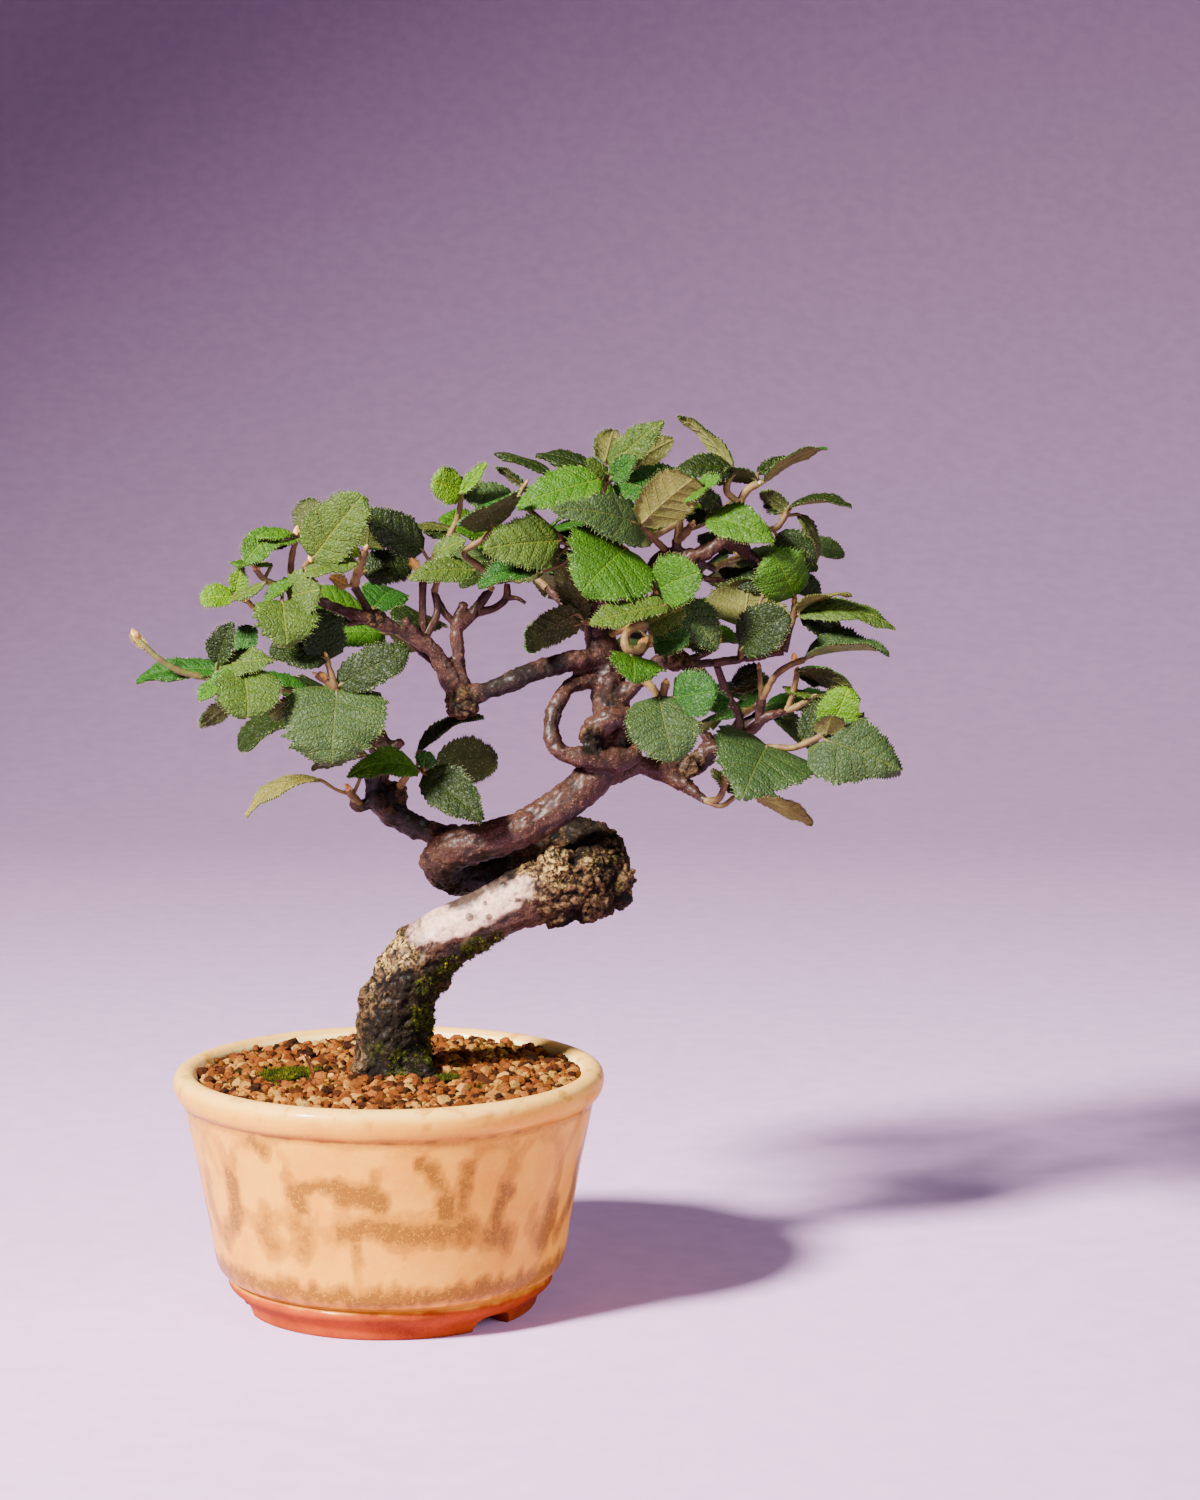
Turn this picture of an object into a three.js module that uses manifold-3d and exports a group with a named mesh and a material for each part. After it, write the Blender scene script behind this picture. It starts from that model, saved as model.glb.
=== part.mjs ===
// A viburnum bonsai in its round glazed pot, millimetres, +Z up.
// The origin lies under the middle of the whole object's box, on the surface that the pot stands on.
import * as THREE from "three";
import Module from "manifold-3d";
import { mergeVertices } from "three/addons/utils/BufferGeometryUtils.js";

const wasm = await Module();
wasm.setup();

// Driving dimensions of the pot and what fills it
const RIM_RADIUS = 60;
const RIM_TOP = 67.2;
const FOOT_RADIUS = 40.8;
const FOOT_INNER_RADIUS = 34;
const FLOOR_UNDERSIDE = 5.2;
const FLOOR_TOP = 10.5;
const DRAIN_RADIUS = 6;
const POT_SIDES = 36;
const FOOT_COUNT = 3;
const FOOT_GAP_WIDTH = 13.5;
const FOOT_GAP_HEIGHT = 4.4;
const FOOT_GAP_TURN = -44;
const CLEARANCE = 0.35;
const SMALLEST_DETAIL = 0.15;
const SOIL_TOP = 64.3;
const SOIL_DOME = 1.2;
const GRAIN_HEIGHT = 0.85;
const SOIL_RINGS = 6;
const SOIL_SIDES = 30;
const MESH_RADIUS = 13;
const MESH_THICKNESS = 1.1;
const MESH_PITCH = 5.2;
const MESH_BAR = 1.4;

// Driving dimensions of the leaves
const BLADE_THICKNESS = 0.8;
const PETIOLE_RADIUS = 0.6;
const TOOTH = 0.07;

// The eye that the front view's places are read from, and the plane y = 0 they are read in
const EYE = new THREE.Vector3(58.8, -973, 272);

// A place read in the front view at (x, z) of the plane y = 0, moved along its line of sight to depth y.
function fromFront(x, z, y) {
  return new THREE.Vector3(x, 0, z).sub(EYE).multiplyScalar(1 + y / -EYE.y).add(EYE);
}

// Seeded random numbers from 0 to 1.
function randomFrom(seed) {
  let state = seed;
  return () => {
    state = (state * 16807) % 2147483647;
    return state / 2147483647;
  };
}

// A closed geometry as a solid, turned so that its faces point out.
function solid(geometry) {
  geometry.deleteAttribute("normal");
  geometry.deleteAttribute("uv");
  const merged = mergeVertices(geometry, 1e-4);
  const vertProperties = new Float32Array(merged.attributes.position.array);
  const triVerts = new Uint32Array(merged.index.array);
  const made = new wasm.Manifold(new wasm.Mesh({ numProp: 3, vertProperties, triVerts }));
  if (made.volume() > 0) return made;
  for (let i = 0; i < triVerts.length; i += 3) {
    [triVerts[i + 1], triVerts[i + 2]] = [triVerts[i + 2], triVerts[i + 1]];
  }
  return new wasm.Manifold(new wasm.Mesh({ numProp: 3, vertProperties, triVerts }));
}

function union(solids) {
  return wasm.Manifold.union(solids);
}

// The largest of a solid's separate bodies.
function largestBody(whole) {
  return whole.decompose().reduce((best, body) => (body.volume() > best.volume() ? body : best));
}

function mesh(name, body, color, roughness) {
  const { vertProperties, triVerts } = body.asOriginal().simplify(SMALLEST_DETAIL).getMesh();
  const geometry = new THREE.BufferGeometry();
  geometry.setAttribute("position", new THREE.BufferAttribute(new Float32Array(vertProperties), 3));
  geometry.setIndex(new THREE.BufferAttribute(new Uint32Array(triVerts), 1));
  geometry.computeVertexNormals();
  const made = new THREE.Mesh(geometry, new THREE.MeshStandardMaterial({ color, roughness, metalness: 0 }));
  made.name = name;
  return made;
}

// A turned solid about +Z from a closed outline of (radius, height) points.
function turned(outline, sides) {
  const points = outline.map(([radius, height]) => new THREE.Vector2(radius, height));
  return solid(new THREE.LatheGeometry(points, sides).rotateX(Math.PI / 2));
}

// A tapering rod with a flat end at either side, bent through places with a radius at each.
function rod(places, radii, sides) {
  const steps = places.length - 1;
  const tangents = places.map((at, i) => {
    const tangent = new THREE.Vector3();
    if (i > 0) tangent.add(at.clone().sub(places[i - 1]).normalize());
    if (i < steps) tangent.add(places[i + 1].clone().sub(at).normalize());
    return tangent.normalize();
  });
  const across = new THREE.Vector3(0.31, 0.83, 0.47);
  const axes = tangents.map((tangent) => {
    across.addScaledVector(tangent, -across.dot(tangent)).normalize();
    return [across.clone(), tangent.clone().cross(across)];
  });
  const geometry = new THREE.CylinderGeometry(1, 1, 1, sides, steps);
  const position = geometry.attributes.position;
  const at = new THREE.Vector3();
  for (let i = 0; i < position.count; i++) {
    const step = Math.round((position.getY(i) + 0.5) * steps);
    at.copy(places[step]);
    at.addScaledVector(axes[step][0], position.getX(i) * radii[step]);
    at.addScaledVector(axes[step][1], -position.getZ(i) * radii[step]);
    position.setXYZ(i, at.x, at.y, at.z);
  }
  return solid(geometry);
}

// A limb through points [x, z, y, radius] of the front view; grow makes it thicker and longer all round.
function limb(points, sides, grow) {
  const places = points.map(([x, z, y]) => fromFront(x, z, y));
  const last = places.length - 1;
  if (grow > 0) {
    places[0].add(places[0].clone().sub(places[1]).setLength(grow));
    places[last].add(places[last].clone().sub(places[last - 1]).setLength(grow));
  }
  return rod(places, points.map((row) => row[3] + grow), sides);
}

// A rough knob of bark at [x, z, y, radius] of the front view.
function knob([x, z, y, radius], grow = 0) {
  const ball = new THREE.IcosahedronGeometry(1, radius > 6 ? 1 : 0);
  const position = ball.attributes.position;
  const centre = fromFront(x, z, y);
  const at = new THREE.Vector3();
  for (let i = 0; i < position.count; i++) {
    at.fromBufferAttribute(position, i);
    const rough = 1 + 0.09 * Math.sin(5 * at.x + x) + 0.09 * Math.sin(6 * at.z + z) + 0.07 * Math.sin(7 * at.y);
    at.multiplyScalar(radius * rough + grow).add(centre);
    position.setXYZ(i, at.x, at.y, at.z);
  }
  return solid(ball);
}

// The wood: trunk, main branches, bare twigs and old knobs, as [x, z, y, radius] of the front view.
const TRUNK = [
  [0.3, 50, 0, 7], [0.5, 64, 0, 11.7], [1, 72, 0, 10.8], [1.8, 80, -0.5, 10.8],
  [4, 89, -1.5, 10.3], [9, 97.5, -2.5, 9.6], [15.5, 103, -3, 8.9], [30, 111, -3.5, 7.8],
  [37, 114.5, -3, 8.6], [45, 117.5, -1, 10.2], [53, 119.5, 2, 10.8], [58.5, 123, 8, 9.4], [57, 129, 15, 7.6],
  [50, 131, 20, 6.6], [42, 128, 22, 6], [24, 120.5, 18, 6.1], 
  [15, 124, 5, 6], [17, 127.6, -1, 6.1], [33, 132.3, -5, 5.3], [42, 136.5, -5, 5.2],
  [50, 142, -4, 5.3], [56, 147.5, -2, 5.6], [60.5, 153.5, 0, 6], [62.5, 161, 2, 5.4], [61.5, 170, 4, 5.2],
  [60.5, 180, 5, 5], [58.5, 188, 5, 4.2], [57, 195, 4, 3.2], [56, 199, 3, 2],
];
const BRANCHES = [
  // The loop that leaves the upper trunk, hangs down and grows into the fork below
  [[57, 176, 3, 2.8], [51, 174, 0, 2.5], [47.5, 169.5, -3, 2.4], [45.5, 164, -5, 2.4], [45.6, 159, -7, 2.4],
    [48, 155.5, -8, 2.6], [54, 154, -8, 2.9], [61, 153, -6, 3.1], [67, 154, -4, 2.7], [70, 158.5, -2, 1.6]],
  // The stout stub in front of the loop
  [[54.5, 158.5, -3, 2.4], [58, 162.3, -6, 3.6], [63, 165, -7, 3.4], [68, 164.6, -5, 2.5]],
  // The left arm, from the upper trunk to its old knuckle
  [[61, 183, 4, 3.3], [55, 181.5, 1, 3], [48, 180, -2, 2.8], [40, 177.4, -5, 2.7], [33, 174.4, -7, 2.7],
    [27, 172, -8, 2.7], [21, 170.5, -9, 3.6]],
  // The long branch from the knuckle to the far left
  [[20, 170, -9, 3.4], [15, 180.5, -10, 2.6], [11.5, 185, -11, 2.4], 
    [2, 189.8, -12.5, 1.9], [-3, 192, -13, 2.2], [-8, 193.2, -13.5, 1.8], [-13, 195, -14, 1.6],
    [-19, 197.8, -15, 1.5], [-24, 200.8, -15, 1.2]],
  // Twigs on the long branch
  [[-4, 192.5, -13, 1.5], [-6, 196.5, -12, 1.2], [-8.7, 201, -11, 1.1]],
  [[-6, 192, -13.5, 0.9], [-10.8, 190.6, -15, 0.6]],
  [[9.5, 186, -11.5, 1.7], [5, 192.3, -15, 1.3]],
  [[10, 187, -11, 1.3], [10, 195, -11, 1], [10.1, 202.5, -11, 1]],
  [[11, 188, -11, 1.3], [14, 194, -9, 1.1], [13.2, 200, -8, 0.9]],
  [[19.4, 190.3, -7.5, 0.9], [15, 195.5, -7, 1.2], [13.8, 199, -6.5, 0.8]],
  // The fork that rises from the knuckle
  [[20, 171, -9, 3.1], [20, 180, -8, 2.1], [19.3, 186, -7.5, 1.7], [19.4, 191, -7, 1.8], [21.5, 197, -6, 1.1]],
  [[19.6, 190.6, -7, 1.8], [23.5, 193.5, -6, 1.7], [26, 197, -5.5, 1.5], [29, 200.5, -5, 1]],
  [[25, 194.2, -6, 1.5], [29.5, 195.2, -5, 1.1], [33, 198, -4.5, 1.1], [33.3, 202, -4.5, 0.8]],
  [[33.2, 198, -4.5, 0.9], [36, 198, -4.5, 0.7], [38.3, 196.7, -4, 0.6]],
  // The low branch behind the left end of the trunk's bend
  [[19, 131, 2, 4], [12, 133, 6, 3.6], [5, 136, 7, 3.6], [-1, 141.5, 7, 4.4], [-3, 147.5, 7, 3.8],
    [-1.3, 154, 6, 3.2], [-2.6, 159.5, 5, 2.9], [-3.8, 164, 4, 1.5]],
  [[0, 143, 7, 3.4], [5, 145, 8, 1.6]],
  [[-3, 142, 6, 2.4], [-8.2, 140.2, 5, 1.6], [-9.6, 142.8, 4, 1.2]],
  [[0, 156, 5, 2.4], [4.5, 158.5, 4, 1.4]],
  // The low right branch
  [[61, 150, 1, 4.2], [69, 152, 4, 3.1], [78, 149, 3, 2.8], [84, 145, 0, 1.8], [88.3, 141.6, -3, 1.2]],
  [[76, 151, 4, 2.8], [83, 151.5, 6, 3.2], [88, 154.5, 7, 3], [89, 158.5, 7, 2.1], [86.3, 161.6, 6, 1.1]],
  [[87, 154.5, 6, 2.2], [94, 158, 3, 1.7], [100, 161.2, 0, 1.5], [105, 165.3, -2, 1.5], [111, 166.8, -3, 1.2]],
  [[102.6, 163.6, -1, 1.2], [103.4, 170.3, -2, 1.4]],
  [[98, 160.5, 1, 1.1], [97, 166, 2, 1.1], [94, 171, 1, 1.3], [92.3, 175.5, -1, 1.1], [91, 179.5, -4, 1]],
  // The right branch at half height
  [[62.5, 169, 3, 2.8], [70, 175.3, 0, 2.2], [75, 180.3, -3, 2.3], [80, 181.2, -5, 2.8], [85, 180, -6, 1.6],
    [98, 181.2, -6, 1.2], [104, 182.3, -6, 1.2], [109.5, 183.4, -6, 1.5]],
  [[84, 181.2, -6, 1.2], [89.5, 183.5, -7, 0.8]],
  [[109.3, 183.3, -6, 1.3], [110.5, 187.5, -6, 1], [111.2, 190.5, -6, 1]],
  // The upper right branch
  [[58, 189, 4.5, 3], [64, 196.5, 3, 3.1], [71, 203, 1, 2.8], [77, 209.8, 0, 2.4], [83, 209.3, -2, 2.6],
    [88, 210.8, -3, 2.2], [93, 214.3, -4, 1.9], [97.3, 216.3, -4, 1.5]],
  [[94, 213.8, -2, 2.3], [98.3, 211.5, 1, 2.2], [99.3, 208.6, 2, 1.2]],
  [[98.5, 211.5, 1, 1.2], [103, 207.6, 1, 0.8], [102, 205.4, 1, 0.6]],
  [[79.5, 209.8, -1, 1.8], [80, 214, -3, 1.4]],
  [[84, 207.5, -1, 2], [87, 203.8, 1, 1.2], [93.5, 202.8, 3, 0.7]],
  [[63.5, 194.6, 0, 1.1], [60, 196.3, -3, 1], [57.2, 199.3, -5, 0.9]],
  // Branches that carry the back of the crown
  [[61.5, 171, 6, 2.4], [65, 177, 13, 1.7], [70, 183, 21, 1.2]],
  [[59, 187, 7, 2.2], [51, 194, 13, 1.6], [44, 201, 21, 1.1]],
  [[57.5, 194, 5, 1.8], [61, 203, 12, 1.4], [64, 211, 19, 1]],
  [[83, 209, 0, 1.6], [86, 208, 9, 1.3], [90, 206, 17, 1]],
  [[19, 174, -8, 1.7], [14, 179, 2, 1.3], [7, 186, 12, 1]],
  [[91, 157.2, 5, 1.4], [95, 161, 12, 1.1], [98, 166, 19, 0.9]],
  [[-2, 157, 6, 1.8], [-7, 162, 13, 1.3], [-12, 168, 20, 1]],
];
const KNOBS = [
  [47, 122.5, -4, 6.6], [56, 113.5, -1, 6.8], [62, 120, 4, 6.6], [64.3, 115.3, 3, 4.2], [53.5, 130.5, 13, 5.6],
  [47, 111.5, -3, 5.6], [20.6, 169, -9.5, 4.6], [22.5, 167.8, -11, 3],
  [56.8, 159.5, -5, 3.4], [79.5, 181, -6, 3.3], [83, 179.6, -7, 2.6], [1, 143, 8, 4.6],
  [-3, 192.6, -13.5, 2.6], [84.5, 151.5, 5, 3.7], 
  [5, 104, -4, 5.6], [12.5, 92.5, -3, 5.2], [-4, 86, -2, 5.4], [8, 66, -7, 5], [-6, 65.6, -6, 5],
];

function wood(grow = 0) {
  const limbs = BRANCHES.map((points) => limb(points, points[0][3] > 1.5 ? 6 : 4, grow));
  const knobs = KNOBS.map((row) => knob(row, grow));
  return union([limb(TRUNK, 8, grow), ...limbs, ...knobs]);
}

// A leaf's half width at u along its midrib, as a share of its greatest, for a broad ovate leaf.
function ovate(u) {
  return (Math.pow(u, 0.45) * Math.pow(1 - u, 0.6)) / 0.5085;
}

// A leaf as one closed solid: a four-sided petiole from a place inside its stem, then a thin toothed blade
// whose two faces are split into triangles alike. fold lifts both halves off the midrib, in degrees, and
// arch raises the middle, as a share of the length.
function leaf(from, base, tip, normal, width, fold, arch) {
  const midrib = tip.clone().sub(base);
  const length = midrib.length();
  const right = midrib.clone().cross(normal).normalize();
  const lift = Math.sin(THREE.MathUtils.degToRad(fold));
  const flat = Math.cos(THREE.MathUtils.degToRad(fold));
  const onEdge = length < 6 ? 2 : length < 16 ? 3 : length < 25 ? 4 : 6;
  const onMidrib = length < 9 ? 0 : 1;

  const vertices = [];
  function corner(at, direction, distance) {
    const moved = at.clone().addScaledVector(direction, distance);
    return vertices.push(moved.x, moved.y, moved.z) / 3 - 1;
  }
  function place(u, side, half) {
    const at = base.clone().addScaledVector(midrib, u);
    at.addScaledVector(right, side * half * flat);
    at.addScaledVector(normal, half * lift + arch * length * 4 * u * (1 - u));
    const skin = normal.clone().multiplyScalar(flat).addScaledVector(right, -side * lift).normalize();
    return { u, top: corner(at, skin, BLADE_THICKNESS / 2), under: corner(at, skin, -BLADE_THICKNESS / 2) };
  }
  // The four corners of the petiole's section at a place, square to a direction
  function section(at, direction) {
    const across = right.clone().addScaledVector(direction, -right.dot(direction));
    if (across.length() < 0.3) across.copy(normal).addScaledVector(direction, -normal.dot(direction));
    across.normalize();
    const above = across.clone().cross(direction);
    return [corner(at, above, PETIOLE_RADIUS * 0.8), corner(at, across, PETIOLE_RADIUS),
      corner(at, above, -PETIOLE_RADIUS * 0.8), corner(at, across, -PETIOLE_RADIUS)];
  }
  const stemward = base.clone().sub(from).normalize();
  const far = section(from, stemward);
  const near = section(base, stemward.clone().add(midrib.clone().normalize()).normalize());
  const start = { u: 0, top: near[0], under: near[2] };
  const end = place(1, 0, 0);
  const spine = [];
  for (let i = 1; i <= onMidrib; i++) spine.push(place(i / (onMidrib + 1), 0, 0));

  const index = [];
  function face(a, b, c) {
    if (a !== b && b !== c && c !== a) index.push(a, b, c);
  }
  for (const side of [-1, 1]) {
    const shoulder = side > 0 ? near[1] : near[3];
    const outer = [start, { u: 0, top: shoulder, under: shoulder }];
    for (let i = 1; i <= onEdge; i++) {
      const u = (i - 0.35) / (onEdge + 0.3);
      const tooth = 1 + (i % 2 ? TOOTH : -TOOTH);
      outer.push(place(u, side, 0.5 * width * ovate(u) * tooth));
    }
    outer.push(end);
    const inner = [start, ...spine, end];
    for (let i = 0, j = 0; i < outer.length - 1 || j < inner.length - 1;) {
      const [a, b] = side > 0 ? [inner[j], outer[i]] : [outer[i], inner[j]];
      const outerNext = i < outer.length - 1 ? outer[i + 1].u : Infinity;
      const innerNext = j < inner.length - 1 ? inner[j + 1].u : Infinity;
      const next = outerNext <= innerNext ? outer[++i] : inner[++j];
      face(a.top, b.top, next.top);
      face(a.under, next.under, b.under);
    }
    for (let i = 1; i < outer.length - 1; i++) {
      const [a, b] = side > 0 ? [outer[i + 1], outer[i]] : [outer[i], outer[i + 1]];
      face(a.top, b.top, b.under);
      face(a.top, b.under, a.under);
    }
  }
  for (let i = 0; i < 4; i++) {
    const next = (i + 1) % 4;
    face(near[next], near[i], far[i]);
    face(near[next], far[i], far[next]);
  }
  face(far[0], far[3], far[2]);
  face(far[0], far[2], far[1]);
  const geometry = new THREE.BufferGeometry();
  geometry.setAttribute("position", new THREE.Float32BufferAttribute(vertices, 3));
  geometry.setIndex(index);
  return solid(geometry);
}

// The upper side's direction of a leaf read in the front view: 0 faces the eye, 90 faces up, 180 faces away.
function leafNormal(base, tip, face) {
  const along = tip.clone().sub(base).normalize();
  const toEye = EYE.clone().sub(base).normalize();
  toEye.addScaledVector(along, -toEye.dot(along)).normalize();
  const aside = along.clone().cross(toEye);
  if (aside.z < 0) aside.negate();
  const turn = THREE.MathUtils.degToRad(face);
  return toEye.multiplyScalar(Math.cos(turn)).addScaledVector(aside, Math.sin(turn));
}

// The place on the stems where a leaf's petiole starts: the nearest one, taken a little back along the stem.
function rootOf(stems, base) {
  let root = stems[0][1][0];
  let shortest = Infinity;
  for (const [, points] of stems) {
    for (let i = 1; i < points.length; i++) {
      const stretch = new THREE.Line3(points[i - 1], points[i]);
      const nearest = stretch.closestPointToPoint(base, true, new THREE.Vector3());
      const distance = nearest.distanceTo(base);
      if (distance >= shortest) continue;
      shortest = distance;
      const back = Math.min(0.3 * distance, nearest.distanceTo(points[i - 1]));
      root = nearest.addScaledVector(stretch.delta(new THREE.Vector3()).normalize(), -back);
    }
  }
  return root;
}

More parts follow.
